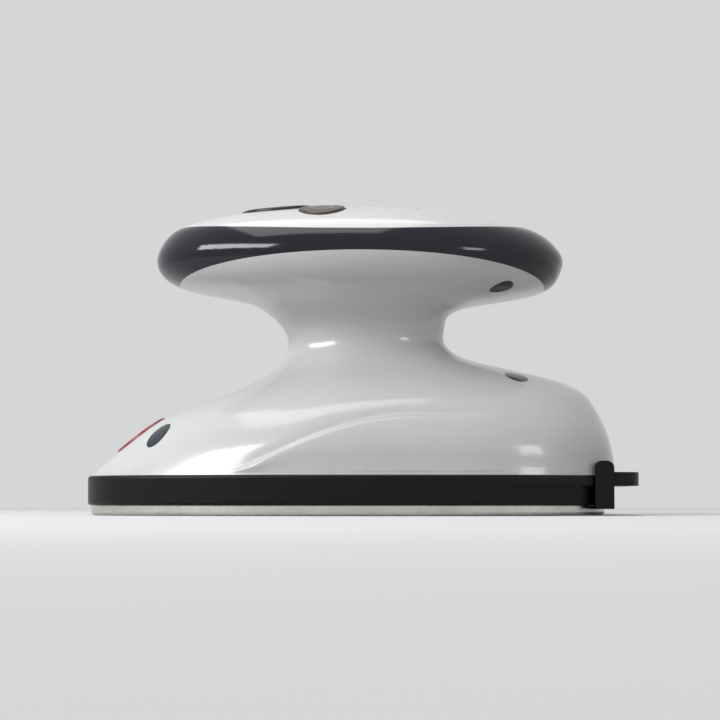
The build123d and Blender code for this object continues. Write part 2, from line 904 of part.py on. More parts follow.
def lamps():
    column = Part() + pairs([(lamp_x, lamp_y)], lamp_radius, side_boss_low, handle_top)
    return (column & outer) - Pos(0, 0, -lamp_depth) * outer


def spring(x, y, radius, wire, turns, low, high):
    """A pressed spring with plain ends, just touching the faces at both ends."""
    rise = high - low - 2 * wire
    coil = Helix(rise / turns, rise, radius)
    coil = Pos(x, y, low + wire) * coil
    return swept(Wire([coil.edge()]), wire, spring_sides)


def steam_spring():
    size = (steam_spring_radius, steam_spring_wire, steam_spring_turns)
    return spring(steam_spring_x, 0, *size, carrier_high, steam_lip_low)


def side_spring(side):
    size = (side_spring_radius, side_spring_wire, side_spring_turns)
    return spring(side_x, side * side_y, *size, switch_top, side_boss_low)


def valve_rod():
    """The rod from the steam button down through the tank, with a needle for the nozzle."""
    needle = upright(needle_radius, needle_bottom, rod_bottom, rod_x)
    return upright(rod_radius, rod_bottom, rod_top, rod_x) + needle


def carrier():
    """The plate that carries the switches inside the handle."""
    plate = upright_oval(carrier_half_length, carrier_half_width, carrier_low, carrier_high)
    low, high = carrier_low - overrun, carrier_high + overrun
    holes = pairs(carrier_places, screw_thread_radius, low, high)
    holes += [
        upright(spindle_radius + button_gap, low, high, dial_x),
        upright(rod_radius + button_gap, low, high, rod_x),
        upright(wire_hole_radius, low, high, side_x, -side_y),
    ]
    return plate - holes


def switch_body(side):
    half = switch_size / 2
    y = side * side_y
    body = block(side_x - half, side_x + half, y - half, y + half, carrier_high, switch_top)
    return fillet(body.edges().filter_by(Axis.Z), block_round)


def tank_space(shrink):
    """The space the tank fills, drawn in by a shrink."""
    low, high = tank_bottom + shrink, tank_top - shrink
    snout = tank_snout_width / 2 - shrink
    room = block(tank_front_x + shrink, tank_tail_x - shrink, -wide, wide, low, high)
    return room + block(tank_nose_x + shrink, tank_front_x + 2 * shrink, -snout, snout, low, high)


def water_tank():
    hull = tank_space(0) & form(housing_wall + tank_gap, skirt_top)
    neck = on_slope(Circle(filler_bore + filler_neck_wall), -filler_neck_depth, neck_top)
    hull = hull + (neck & block(tank_nose_x, tank_front_x, -wide, wide, tank_bottom, waist_height))
    hull = hull - (tank_space(tank_wall) & form(housing_wall + tank_gap + tank_wall, skirt_top))
    bore = on_slope(Circle(filler_bore), -filler_neck_depth - tank_wall, overrun)
    bore = bore & block(-long, tank_front_x, -wide, wide, tank_bottom + tank_wall, waist_height)
    hull = hull - bore
    hull = hull - upright(nozzle_radius, 0, tank_bottom + overrun + tank_wall, rod_x)
    return hull - upright(grommet_waist_radius, tank_top - 2 * tank_wall, tank_top + overrun, rod_x)


def drip_nozzle():
    floor = tank_bottom + tank_wall
    solid = upright(nozzle_radius, nozzle_bottom, floor, rod_x)
    solid = solid + upright(nozzle_flange_radius, floor, floor + nozzle_flange, rod_x)
    return solid - upright(nozzle_bore, 0, waist_height, rod_x)


def rod_grommet():
    solid = upright(grommet_waist_radius, tank_top - tank_wall, tank_top, rod_x)
    solid = solid + upright(grommet_radius, tank_top, tank_top + grommet_height, rod_x)
    return solid - upright(rod_radius + running_gap, 0, waist_height, rod_x)


def filler_plug():
    oval = Ellipse(filler_head_half_length, filler_head_half_width)
    head = on_slope(oval, -filler_recess, 2 * filler_recess)
    lift = filler_plane.z_dir * filler_proud
    head = head & (Pos(lift) * outer)
    plug = head + on_slope(Circle(filler_spigot), -filler_spigot_depth, -filler_recess)
    return rounded_cap(plug, filler_plane.z_dir, filler_edge)


def filler_ring():
    return on_slope(Circle(filler_ring_radius) - Circle(filler_spigot), neck_top, -filler_recess)


def terminal_block():
    half, side = block_length / 2, block_width / 2
    body = block(block_x - half, block_x + half, -side, side, skirt_top, block_top)
    body = fillet(body.edges().filter_by(Axis.Z), block_round)
    for way in (-1, 0, 1):
        for x in (block_x - half / 2, block_x + half / 2):
            y = way * block_way_pitch
            if (x > block_x) == (way < 0):
                continue
            low = block_top - block_screw_depth
            body = body - upright(block_screw_radius, low, block_top + overrun, x, y)
    return body


def exit_bar(radius, start, end):
    """A round bar on the cord's exit axis, between two distances from the exit point."""
    return exit_plane * Pos(0, 0, start) * Cylinder(radius, end - start, align=standing)


def cord_saddle():
    centre = exit_plane.origin - exit_plane.z_dir * stub_length * saddle_share
    half, side = saddle_length / 2, saddle_width / 2
    post = block(
        centre.X - half, centre.X + half, centre.Y - side, centre.Y + side, skirt_top, saddle_top
    )
    post = fillet(post.edges().filter_by(Axis.Z), block_round)
    return post - exit_bar(cord_diameter / 2, -2 * stub_length, 0)


def bend_relief():
    """The moulded sleeve round the cord, with grooves that let it bend."""
    taper = Cone(relief_root_radius, relief_tip_radius, relief_length - relief_ring_start, align=standing)
    solid = exit_bar(relief_root_radius, 0, relief_ring_start)
    solid = solid + exit_plane * Pos(0, 0, relief_ring_start) * taper
    for index in range(relief_rings):
        start = relief_ring_start + relief_ring_width + index * relief_ring_pitch
        share = (start - relief_ring_start) / (relief_length - relief_ring_start)
        depth = between(relief_root_radius, relief_tip_radius, share) - relief_ring_groove
        groove = exit_bar(2 * relief_root_radius, start, start + relief_ring_width)
        solid = solid - (groove - exit_bar(depth, start, start + relief_ring_width))
    flange = exit_bar(relief_flange_radius, 0, relief_flange) & inner
    return solid + flange


def wires():
    """Sleeved wires from the terminal block to an element pin, the thermal fuse and the switch."""
    near, far = block_x - block_length / 4, block_x + block_length / 4
    pin_top = element_tail_top + cold_pin_length
    fuse_line = sole_top + fuse_radius
    to_pin = [
        (near, block_way_pitch, block_top),
        (near, block_way_pitch, block_top + pin_wire_rise),
        (element_tail_x, element_leg_y, block_top + pin_wire_rise),
        (element_tail_x, element_leg_y, pin_top),
    ]
    to_fuse = [
        (near, 0, block_top),
        (near, 0, block_top + fuse_wire_rise),
        (fuse_wire_x, 0, block_top + fuse_wire_rise),
        (fuse_wire_x, 0, fuse_line),
        (fuse_x + fuse_length / 2, 0, fuse_line),
    ]
    to_switch = [
        (far, -block_way_pitch, block_top),
        (far, -block_way_pitch, block_top + switch_wire_rise),
        (switch_wire_x, -switch_wire_y, switch_wire_low),
        (switch_wire_x, -switch_wire_y, carrier_low - switch_wire_turn),
        (side_x, -side_y, carrier_low - switch_wire_lead),
        (side_x, -side_y, carrier_high),
    ]
    routes = [to_pin, to_fuse, to_switch]
    return [swept(FilletPolyline(*route, radius=wire_bend), wire_radius, wire_sides) for route in routes]


def biarc(start, start_way, end, end_way):
    """Two arcs that join two points, each leaving in its given direction."""
    span = end - start
    ways = start_way + end_way
    fit = 2 * (1 - start_way.dot(end_way))
    reach = (-span.dot(ways) + sqrt(span.dot(ways) ** 2 + fit * span.dot(span))) / fit
    near, far = start + start_way * reach, end - end_way * reach
    middle = (near + far) / 2
    middle_way = (far - near).normalized()
    return [
        TangentArc(start, middle, tangent=start_way).edge(),
        TangentArc(middle, end, tangent=middle_way).edge(),
    ]


def coil_point(turn):
    """The coil's centre line: inwards on the floor, up half a turn, outwards on top."""
    angle = 2 * pi * turn
    low = cord_diameter / 2
    if turn <= turns_in:
        radius, height = coil_outer_radius - coil_pitch * turn, low
    elif turn <= turns_in + climb_turns:
        share = (turn - turns_in) / climb_turns
        radius = coil_inner_radius - coil_pitch / (2 * pi) * sin(pi * share)
        height = low + coil_lift * (1 - cos(pi * share)) / 2
    else:
        radius = coil_inner_radius + coil_pitch * (turn - turns_in - climb_turns)
        height = low + coil_lift
    return Vector(coil_centre_x + radius * cos(angle), coil_centre_y + radius * sin(angle), height)


def coil_way(turn):
    """The coil's direction at one of its turns; both ends point straight along the cord."""
    if turn in (0, coil_turns):
        return Vector(0, 1, 0)
    return (coil_point(turn + way_step_share) - coil_point(turn - way_step_share)).normalized()


def coil_wire():
    edges = []
    count = round(coil_turns * samples_per_turn)
    for index in range(count):
        start, end = index / samples_per_turn, (index + 1) / samples_per_turn
        edges += biarc(coil_point(start), coil_way(start), coil_point(end), coil_way(end))
    return Wire(edges)


def print_least_gap(wire):
    """Measures how near the coil's tube comes to itself, on points along its centre line."""
    count = round(coil_turns * gap_samples_per_turn)
    line = [wire @ (index / count) for index in range(count + 1)]
    apart = gap_samples_per_turn // 2
    least = min(
        (line[one] - line[two]).length
        for one in range(count + 1)
        for two in range(one + apart, count + 1)
    )
    print("coil, least gap to itself", round(least - cord_diameter, 2))


def soft_run(name, route):
    """A cord run of straight lines and arcs; prints the radius of each bend."""
    radii = []
    for index in range(1, len(route) - 1):
        before, here, after = (Vector(*point) for point in route[index - 1:index + 2])
        turn = (here - before).get_angle(after - here)
        shorter = min((here - before).length, (after - here).length)
        radii.append(bend_share * shorter / tan(radians(turn / 2)))
    print(name, "bend radii", [round(radius, 1) for radius in radii])
    return swept(FilletPolyline(*route, radius=radii), cord_diameter / 2)


def mains_plane():
    end = Vector(*lead_route[-1])
    way = (end - Vector(*lead_route[-2])).normalized()
    return Plane(origin=end, x_dir=(0, 0, 1), z_dir=way)


def plug_body():
    axis = mains_plane()
    profile = [(radius, 0, along) for along, radius in mains_profile]
    face = Polyline((0, 0, 0), *profile, (0, 0, mains_face), close=True)
    body = axis * revolve(make_face(face), Axis.Z)
    reach = axis * Pos(0, 0, mains_face - clip_slot_length)
    edge = mains_profile[-2][1]
    for side in (-1, 1):
        slot = Box(2 * clip_slot_depth, clip_slot_width, clip_slot_length + overrun, align=standing)
        body = body - reach * Pos(side * edge, 0, 0) * slot
    hole = Cylinder(earth_hole_radius, earth_hole_depth + overrun, align=standing)
    return body - axis * Pos(earth_hole_offset, 0, mains_face - earth_hole_depth) * hole


def plug_pins():
    pins = []
    for side in (-1, 1):
        pin = Cylinder(pin_radius, pin_length, align=standing)
        pin = fillet(pin.edges().group_by(Axis.Z)[-1], pin_tip_round)
        pins.append(mains_plane() * Pos(0, side * pin_spacing / 2, mains_face) * pin)
    return pins


def earth_clips():
    clips = []
    edge = mains_profile[-2][1] - clip_slot_depth
    for side in (-1, 1):
        clip = Box(clip_thickness, clip_width, clip_slot_length, align=standing)
        middle = side * (edge + clip_thickness / 2)
        clips.append(mains_plane() * Pos(middle, 0, mains_face - clip_slot_length) * clip)
    return clips


save("housing", housing())
save("handle_ring", handle_ring())
save("handle_cover", handle_cover())
save("heat_shield_skirt", skirt())
save("soleplate", soleplate())
save("base_screw_plugs_nose", *surface_plugs(nose_plug_x, nose_plug_y, plug_floor, waist_height, -plug_depth))
save("base_screw_plugs_tail", *surface_plugs(tail_plug_x, tail_plug_y, plug_floor, waist_height, -plug_depth))
save("handle_screw_plugs", *surface_plugs(grip_plug_x, grip_plug_y, waist_height, grip_seat, plug_depth))
save("base_screws", *screws(base_screw_places, plug_floor, sole_top))
save("carrier_screws", *screws(carrier_places, carrier_high, carrier_low - screw_depth + overrun))
save("handle_screws", *screws([(grip_plug_x, grip_plug_y)], grip_seat, grip_screw_top))
save("heating_element", swept(element_path(True), element_radius))
save("pin_insulators", *pin_insulators())
save("element_pins", *element_tail_parts(cold_pin_radius, 0, cold_pin_length))
save("chamber_seal", chamber_seal())
save("steam_chamber_lid", chamber_lid())
save("thermostat", thermostat())
save("thermal_fuse", thermal_fuse())
save("fuse_clamp", fuse_clamp())
save("temperature_dial", dial())
save("dial_spindle", dial_spindle())
save("steam_button", steam_button())
save("power_button", side_button(-1))
save("steam_lock_button", side_button(1))
save("indicator_lamps", lamps())
save("valve_rod", valve_rod())
save("steam_button_spring", steam_spring())
save("power_button_spring", side_spring(-1))
save("steam_lock_button_spring", side_spring(1))
save("control_carrier", carrier())
save("power_switch", switch_body(-1))
save("steam_lock_latch", switch_body(1))
save("water_tank", water_tank())
save("drip_nozzle", drip_nozzle())
save("rod_grommet", rod_grommet())
save("filler_plug", filler_plug())
save("filler_seal", filler_ring())
save("terminal_block", terminal_block())
save("cord_saddle", cord_saddle())
save("inner_wires", *wires())
save("cord_stub", exit_bar(cord_diameter / 2, -stub_length, 0))
save("bend_relief", bend_relief())
save("supply_cord", soft_run("supply cord", cord_route))
save("cord_coil", swept(coil_wire(), cord_diameter / 2, coil_sides))
print_least_gap(coil_wire())
save("plug_lead", soft_run("plug lead", lead_route))
save("plug_body", plug_body())
save("plug_pins", *plug_pins())
save("plug_earth_clips", *earth_clips())
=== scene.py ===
"""Finishes, cord and studio for a small travel steam iron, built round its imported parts."""

import math

import bmesh
import bpy
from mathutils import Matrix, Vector
from mathutils.bvhtree import BVHTree


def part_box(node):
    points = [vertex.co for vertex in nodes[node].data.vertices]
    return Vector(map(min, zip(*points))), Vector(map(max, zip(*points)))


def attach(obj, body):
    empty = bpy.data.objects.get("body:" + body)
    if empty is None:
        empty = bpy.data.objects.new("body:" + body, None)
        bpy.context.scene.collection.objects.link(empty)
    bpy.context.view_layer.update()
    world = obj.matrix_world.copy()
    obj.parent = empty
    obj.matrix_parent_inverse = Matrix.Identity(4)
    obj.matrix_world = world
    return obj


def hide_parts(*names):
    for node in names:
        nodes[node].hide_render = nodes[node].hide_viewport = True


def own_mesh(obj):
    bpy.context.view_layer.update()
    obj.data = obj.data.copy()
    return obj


bl_info = {
    "name": "Mini Steam Iron",
    "version": (1, 0, 0),
    "blender": (4, 5, 0),
    "location": "View3D > Sidebar > Steam Iron",
    "description": "Finishes, cord and studio for a small travel steam iron",
    "category": "Object",
}

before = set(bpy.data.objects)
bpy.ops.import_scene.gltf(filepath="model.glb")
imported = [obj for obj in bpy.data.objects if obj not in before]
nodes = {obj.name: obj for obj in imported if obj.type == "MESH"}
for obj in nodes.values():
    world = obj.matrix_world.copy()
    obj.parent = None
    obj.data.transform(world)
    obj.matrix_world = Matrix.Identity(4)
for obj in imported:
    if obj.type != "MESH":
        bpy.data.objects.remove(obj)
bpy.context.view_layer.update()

MM = 0.001

# How far roughness varies over a moulding and over a metal, as shares of its own value
MOULDING_GLOSS_SHARES = (0.8, 1.25)
METAL_GLOSS_SHARES = (0.75, 1.3)

# Supply cord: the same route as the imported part, in millimetres
RELIEF_ROOT = (51.00, 16.50, 25.00)
RELIEF_TIP = (58.50, 44.40, 16.90)
CORD_ROUTE = [
    RELIEF_TIP,
    (60.90, 53.33, 14.31),
    (61.00, 64.00, 9.90),
    (57.60, 75.50, 5.00),
    (56.00, 87.00, 3.25),
]
LEAD_ROUTE = [
    (52.50, 109.00, 10.25),
    (54.00, 123.50, 10.25),
    (54.00, 138.50, 7.20),
    (48.76, 151.50, 3.90),
    (38.69, 161.20, 3.25),
    (25.53, 166.00, 3.25),
    (13.60, 166.00, 4.95),
    (2.20, 166.00, 8.25),
]

# Coil: points in a turn, turns in which it climbs, and turns on the upper layer
COIL_POINTS_PER_TURN = 24
COIL_CLIMB_TURNS = 0.5
COIL_TOP_TURNS = 3

# Bend relief: its length into the housing, its plain root, and the grooves that let it bend
RELIEF_INSIDE = 3.5 * MM
RELIEF_PLAIN = 9.5 * MM
RELIEF_GROOVES = 6
GROOVE_START = 11.0 * MM
GROOVE_PITCH = 3.0 * MM
GROOVE_WIDTH = 1.5 * MM
GROOVE_DEPTH = 0.7 * MM
GROOVE_ROUND = 0.35 * MM
# Steps over each rounded edge, and the sides that the relief is turned with
GROOVE_ROUND_STEPS = 4
RELIEF_SIDES = 56

# Fold on each flank: where it leaves the skirt, where it levels out and where it is gone
CREASE_START_X, CREASE_START_Z = -32 * MM, 10.6 * MM
CREASE_LEVEL_X, CREASE_LEVEL_Z = 14 * MM, 25.2 * MM
CREASE_END_X = 38 * MM
# Lengths over which the fold's shoulder and panel swell out, from where it leaves the skirt
SHOULDER_RUN_IN = 24 * MM
PANEL_RUN_IN = 9 * MM
# The shoulder's curve, share * (1 - share) ** 2, is 4 / 27 at its highest
SHOULDER_SCALE = 27 / 4
# The panel's rounded lip takes no more than this share of the panel's depth
LIP_LARGEST_SHARE = 0.5

# Skin that carries the fold: how far it lies over the housing, and under it at its edge
SKIN_COVER = 0.025 * MM
# Width of that edge, on three sides and at the foot
SKIN_EDGE = 4 * MM
SKIN_FOOT_EDGE = 1 * MM
# How deep the skin's back lies, and its gap to the housing's lower edge
SKIN_DEPTH = 0.9 * MM
SKIN_FOOT_GAP = 0.3 * MM
# Its grid: columns along the iron, and rows over the shoulder, the lip and the panel
SKIN_COLUMNS = 110
SHOULDER_ROWS = 18
LIP_ROWS = 10
PANEL_ROWS = 18

# A distance well outside the iron, from which its surface is felt for
FAR_OUT = 0.1

# Rings printed on the side buttons: their inner and outer radius, and how much paler they are
RING_MARK_INNER, RING_MARK_OUTER = 2.3 * MM, 2.9 * MM
RING_MARK_PALER = 3.2

# Dots round the dial: their gap to it, and from one to the next in radii of a dot
DOT_GAP = 3.4 * MM
DOT_SPACING = 2.645
# How far they stand out, and their crown's height and radius as shares of theirs
DOT_HEIGHT = 0.02 * MM
DOT_CROWN_HEIGHT_SHARE, DOT_CROWN_RADIUS_SHARE = 1.6, 0.8
DOT_SIDES = 20
# Their groups: the angle of each group's middle in degrees, and the dots in it
DOT_GROUPS = ((-58, 1), (0, 2), (58, 3))

# Pale line on the dial's finger bar, and its distance from the dial's rim
POINTER_LENGTH = 6.5 * MM
POINTER_HALF_WIDTH = 0.45 * MM
POINTER_DEPTH = 0.03 * MM
POINTER_INSET = 4.4 * MM
POINTER_END_STEPS = 8

# Button springs: turns, the turns that lie flat at each end, steps in a turn, sides of the wire
SPRING_TURNS = 5
SPRING_FLAT_TURNS = 0.75
SPRING_STEPS = 28
SPRING_WIRE_SIDES = 8

# Floor: its radius and sides, and how far it lies under the soleplate
FLOOR_RADIUS = 4.0
FLOOR_SIDES = 96
FLOOR_DROP = 0.05 * MM
# How far out it is still seen as it is, and where only the surround is seen
FLOOR_SHOWN = 0.30
FLOOR_GONE = 0.60
# Share of the floor's colour that lights the iron from below, so that its neck stays greyer
FLOOR_RETURN = 0.35

# Soft lamps: name, place, the point that it faces, width, height and power in watts
LAMPS = (
    ("overhead_softbox", (-0.12, 0.02, 0.75), (0, 0, 0.03), 0.75, 0.50, 2.9),
    ("left_front_softbox", (-0.74, -0.46, 0.51), (0, 0, 0.04), 0.78, 0.23, 6.2),
    ("right_fill", (0.60, -0.60, 0.34), (0, 0, 0.04), 0.16, 0.16, 0.5),
)

# Heat-shield and dial places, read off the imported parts
SKIRT_LOW, SKIRT_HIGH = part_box("heat_shield_skirt")
DIAL_LOW, DIAL_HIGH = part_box("temperature_dial")
DIAL_CENTRE = (DIAL_LOW + DIAL_HIGH) / 2
DIAL_RADIUS = (DIAL_HIGH.x - DIAL_LOW.x) / 2

# Strip of the housing that the heat has dulled, measured down from the top of the skirt's lugs
DULL_LOW, DULL_HIGH = SKIRT_HIGH.z - 3.4 * MM, SKIRT_HIGH.z - 0.4 * MM
# Shares of the housing's red, green and blue that are left there
DULL_SHARES = (0.80, 0.76, 0.68)
# Top of the scuffed strip along the skirt's lower edge, and the scuffs' grey
SCUFF_HIGH = SKIRT_LOW.z + 2.2 * MM
SCUFF_GREY = (0.16, 0.16, 0.165)
# From one turned ring on the dial to the next
DIAL_RING_PITCH = 0.55 * MM


def colour_property(name, description, default):
    return bpy.props.FloatVectorProperty(
        name=name, description=description, subtype="COLOR", size=3, min=0, max=1, default=default
    )


def length_property(name, description, default):
    return bpy.props.FloatProperty(
        name=name, description=description, subtype="DISTANCE", unit="LENGTH", min=0, default=default
    )


class IronFinishes(bpy.types.PropertyGroup):
    """Colours of the iron's mouldings, metals and cord."""

    shell_white: colour_property("Shell", "Housing and handle cover", (0.72, 0.73, 0.72))
    ring_navy: colour_property("Handle ring", "Band round the handle", (0.006, 0.006, 0.015))
    skirt_black: colour_property("Heat shield", "Band above the soleplate", (0.004, 0.004, 0.005))
    button_black: colour_property("Steam button", "Big oval button", (0.013, 0.015, 0.028))
    button_brown: colour_property("Side buttons", "Two small round buttons", (0.075, 0.060, 0.052))
    dial_green: colour_property("Dial", "Temperature dial", (0.135, 0.190, 0.165))
    filler_red: colour_property("Filler plug", "Water filler plug", (0.330, 0.018, 0.030))
    screw_plug: colour_property("Screw plugs", "Caps over the screws", (0.010, 0.018, 0.030))
    lamp_red: colour_property("Lamps", "Indicator lenses", (0.420, 0.030, 0.015))
    cord_grey: colour_property("Cord", "Cord, relief and mains plug", (0.520, 0.525, 0.515))
    sole_metal: colour_property("Soleplate", "Cast and ground soleplate", (0.640, 0.615, 0.575))
    mark_grey: colour_property("Marks", "Printed dots round the dial", (0.060, 0.065, 0.075))


class IronSizes(bpy.types.PropertyGroup):
    """Sizes of the bend relief, the cord, the flank's fold, the springs and the dots."""

    relief_root: length_property("Relief root", "Bend relief's radius at the housing", 5.57 * MM)
    relief_tip: length_property("Relief tip", "Bend relief's radius at the cord", 4.3 * MM)
    cord_diameter: length_property("Cord diameter", "Outside of the mains cord", 6.5 * MM)
    cord_length: length_property("Cord length", "Whole free cord, from relief to plug", 1.79)
    coil_centre_x: length_property("Coil centre X", "Middle of the coil along the iron", 5.5 * MM)
    coil_centre_y: length_property("Coil centre Y", "Middle of the coil behind the iron", 97.0 * MM)
    coil_outer: length_property("Coil outer radius", "Outermost turn's centre line", 50.5 * MM)
    coil_inner: length_property("Coil inner radius", "Innermost turn's centre line", 26.0 * MM)
    coil_pitch: length_property("Coil pitch", "From one turn to the next", 7.0 * MM)
    coil_lift: length_property("Coil lift", "From the lower layer to the upper", 7.0 * MM)
    panel_proud: length_property("Panel height", "How far the flank stands out under its fold", 0.75 * MM)
    panel_lip: length_property("Panel lip", "Width of the panel's rounded upper edge", 1.6 * MM)
    shoulder_proud: length_property("Shoulder height", "How far it stands out above the fold", 0.45 * MM)
    shoulder_reach: length_property("Shoulder reach", "How far up that swelling goes", 11 * MM)
    spring_wire: length_property("Spring wire", "Radius of the springs' wire", 0.42 * MM)
    dot_radius: length_property("Dot radius", "Printed dots round the dial", 0.55 * MM)


class IronStage(bpy.types.PropertyGroup):
    """The camera and the studio."""

    camera_distance: length_property("Camera distance", "From the iron's middle plane", 0.62)
    camera_height: length_property("Camera height", "Above the floor", 4 * MM)
    aim_height: length_property("Aim height", "Where the view is centred", 40 * MM)
    view_width: length_property("View width", "Width of the view at the iron", 0.186)
    floor_colour: colour_property("Floor", "Paper under the iron", (0.80, 0.81, 0.82))
    backdrop_colour: colour_property("Backdrop", "Plain surround, far from the iron", (0.66, 0.67, 0.68))
    world_level: bpy.props.FloatProperty(
        name="World level", description="Strength of the even light all round", min=0, default=0.24
    )


def new_material(name):
    material = bpy.data.materials.new(name)
    material.use_nodes = True
    tree = material.node_tree
    return material, tree, tree.nodes["Principled BSDF"]


def place(tree, scale=(1, 1, 1)):
    """Object coordinates, stretched by a scale, so that the pattern stays with its piece."""
    source = tree.nodes.new("ShaderNodeTexCoord")
    mapping = tree.nodes.new("ShaderNodeMapping")
    mapping.inputs["Scale"].default_value = scale
    tree.links.new(source.outputs["Object"], mapping.inputs["Vector"])
    return mapping.outputs["Vector"]


def noise(tree, where, size, detail, roughness=0.55):
    """A noise whose features are about that size in metres."""
    node = tree.nodes.new("ShaderNodeTexNoise")
    node.inputs["Scale"].default_value = 1 / size
    node.inputs["Detail"].default_value = detail
    node.inputs["Roughness"].default_value = roughness
    tree.links.new(where, node.inputs["Vector"])
    return node.outputs["Fac"]


def spread(tree, value, low, high, to_low=0.0, to_high=1.0):
    """A value carried over from one range to another, and held at its ends."""
    node = tree.nodes.new("ShaderNodeMapRange")
    node.inputs["From Min"].default_value = low
    node.inputs["From Max"].default_value = high
    node.inputs["To Min"].default_value = to_low
    node.inputs["To Max"].default_value = to_high
    tree.links.new(value, node.inputs["Value"])
    return node.outputs["Result"]


def blend_colours(tree, share, first, second):
    node = tree.nodes.new("ShaderNodeMix")
    node.data_type = "RGBA"
    tree.links.new(share, node.inputs["Factor"])
    for value, socket in ((first, node.inputs["A"]), (second, node.inputs["B"])):
        if isinstance(value, bpy.types.NodeSocket):
            tree.links.new(value, socket)
        else:
            socket.default_value = (*value, 1)
    return node.outputs["Result"]


def bumps(tree, height, depth, normal=None):
    node = tree.nodes.new("ShaderNodeBump")
    node.inputs["Strength"].default_value = 1
    node.inputs["Distance"].default_value = depth
    tree.links.new(height, node.inputs["Height"])
    if normal is not None:
        tree.links.new(normal, node.inputs["Normal"])
    return node.outputs["Normal"]


def shade(colour, share):
    return tuple(channel * share for channel in colour)


def tint(tree, shader, share, colour):
    """Mixes another colour over the shader's own, by a share from 0 to 1."""
    base = shader.inputs["Base Color"].links[0].from_socket
    tree.links.new(blend_colours(tree, share, base, colour), shader.inputs["Base Color"])


def calc(tree, operation, first, second=0.0):
    node = tree.nodes.new("ShaderNodeMath")
    node.operation = operation
    for value, socket in ((first, node.inputs[0]), (second, node.inputs[1])):
        if isinstance(value, bpy.types.NodeSocket):
            tree.links.new(value, socket)
        else:
            socket.default_value = value
    return node.outputs[0]


def axis_value(tree, axis):
    """One of the object coordinates, in metres."""
    source = tree.nodes.new("ShaderNodeTexCoord")
    split = tree.nodes.new("ShaderNodeSeparateXYZ")
    tree.links.new(source.outputs["Object"], split.inputs["Vector"])
    return split.outputs[axis]


def axis_distance(tree, x=0.0, y=0.0):
    """How far a point lies from an upright axis, in metres."""
    across = calc(tree, "POWER", calc(tree, "SUBTRACT", axis_value(tree, "X"), x), 2)
    along = calc(tree, "POWER", calc(tree, "SUBTRACT", axis_value(tree, "Y"), y), 2)
    return calc(tree, "SQRT", calc(tree, "ADD", across, along))


def moulded(name, colour, gloss, grain, depth, mottle, coat=0.0):
    """A moulded plastic: slight mottling, uneven gloss and the mould's fine grain."""
    material, tree, shader = new_material(name)
    where = place(tree)
    broad = noise(tree, where, size=14 * MM, detail=2)
    fine = noise(tree, where, size=grain, detail=4)
    shader.inputs["Roughness"].default_value = gloss
    shader.inputs["Coat Weight"].default_value = coat
    shader.inputs["Coat Roughness"].default_value = 0.06
    shader.inputs["IOR"].default_value = 1.5
    patches = spread(tree, broad, low=0.35, high=0.65)
    mixed = blend_colours(tree, patches, colour, shade(colour, mottle))
    tree.links.new(mixed, shader.inputs["Base Color"])
    least, most = (gloss * share for share in MOULDING_GLOSS_SHARES)
    uneven = spread(tree, fine, low=0.3, high=0.7, to_low=least, to_high=most)
    tree.links.new(uneven, shader.inputs["Roughness"])
    tree.links.new(bumps(tree, fine, depth), shader.inputs["Normal"])
    return material, tree, shader


def metal(name, colour, gloss, streaks, size, depth):
    """A bare metal with streaks along one way, from grinding, drawing or casting."""
    material, tree, shader = new_material(name)
    grain = noise(tree, place(tree, streaks), size=size, detail=5, roughness=0.6)
    broad = noise(tree, place(tree), size=9 * MM, detail=3)
    shader.inputs["Metallic"].default_value = 1
    patches = spread(tree, broad, low=0.3, high=0.7)
    mixed = blend_colours(tree, patches, colour, shade(colour, share=0.86))
    tree.links.new(mixed, shader.inputs["Base Color"])
    least, most = (gloss * share for share in METAL_GLOSS_SHARES)
    uneven = spread(tree, grain, low=0.3, high=0.7, to_low=least, to_high=most)
    tree.links.new(uneven, shader.inputs["Roughness"])
    tree.links.new(bumps(tree, grain, depth), shader.inputs["Normal"])
    return material


def shell_finish(colour):
    """Glossy white moulding, a little duller and warmer where the hot skirt meets it."""
    material, tree, shader = moulded(
        "shell_gloss", colour, gloss=0.20, grain=0.9 * MM, depth=0.006 * MM, mottle=0.97, coat=0.35
    )
    dust = noise(tree, place(tree), size=3 * MM, detail=5)
    low = spread(tree, axis_value(tree, "Z"), DULL_LOW, DULL_HIGH, to_low=1, to_high=0)
    share = calc(tree, "MULTIPLY", low, spread(tree, dust, low=0.35, high=0.75, to_high=0.5))
    warm = tuple(channel * left for channel, left in zip(colour, DULL_SHARES))
    tint(tree, shader, share, warm)
    return material


def skirt_finish(colour):
    """Satin black heat-proof plastic, with pale scuffs along its lower edge."""
    material, tree, shader = moulded(
        "heat_shield_satin", colour, gloss=0.40, grain=0.45 * MM, depth=0.02 * MM, mottle=0.8
    )
    shader.inputs["Specular IOR Level"].default_value = 0.2
    where = place(tree, scale=(0.25, 0.25, 1.6))
    scratch = noise(tree, where, size=1.2 * MM, detail=6, roughness=0.7)
    low = spread(tree, axis_value(tree, "Z"), SKIRT_LOW.z, SCUFF_HIGH, to_low=1, to_high=0)
    share = calc(tree, "MULTIPLY", low, spread(tree, scratch, low=0.58, high=0.72, to_high=0.55))
    tint(tree, shader, share, SCUFF_GREY)
    return material


def sole_finish(colour):
    """Ground aluminium: streaks along the iron, with faint stains from steam."""
    material = metal(
        "ground_aluminium", colour, gloss=0.30, streaks=(0.06, 1, 1), size=0.35 * MM, depth=0.01 * MM
    )
    tree = material.node_tree
    stains = noise(tree, place(tree), size=6 * MM, detail=6, roughness=0.7)
    share = spread(tree, stains, low=0.52, high=0.8, to_high=0.5)
    tint(tree, tree.nodes["Principled BSDF"], share, shade(colour, share=0.55))
    return material


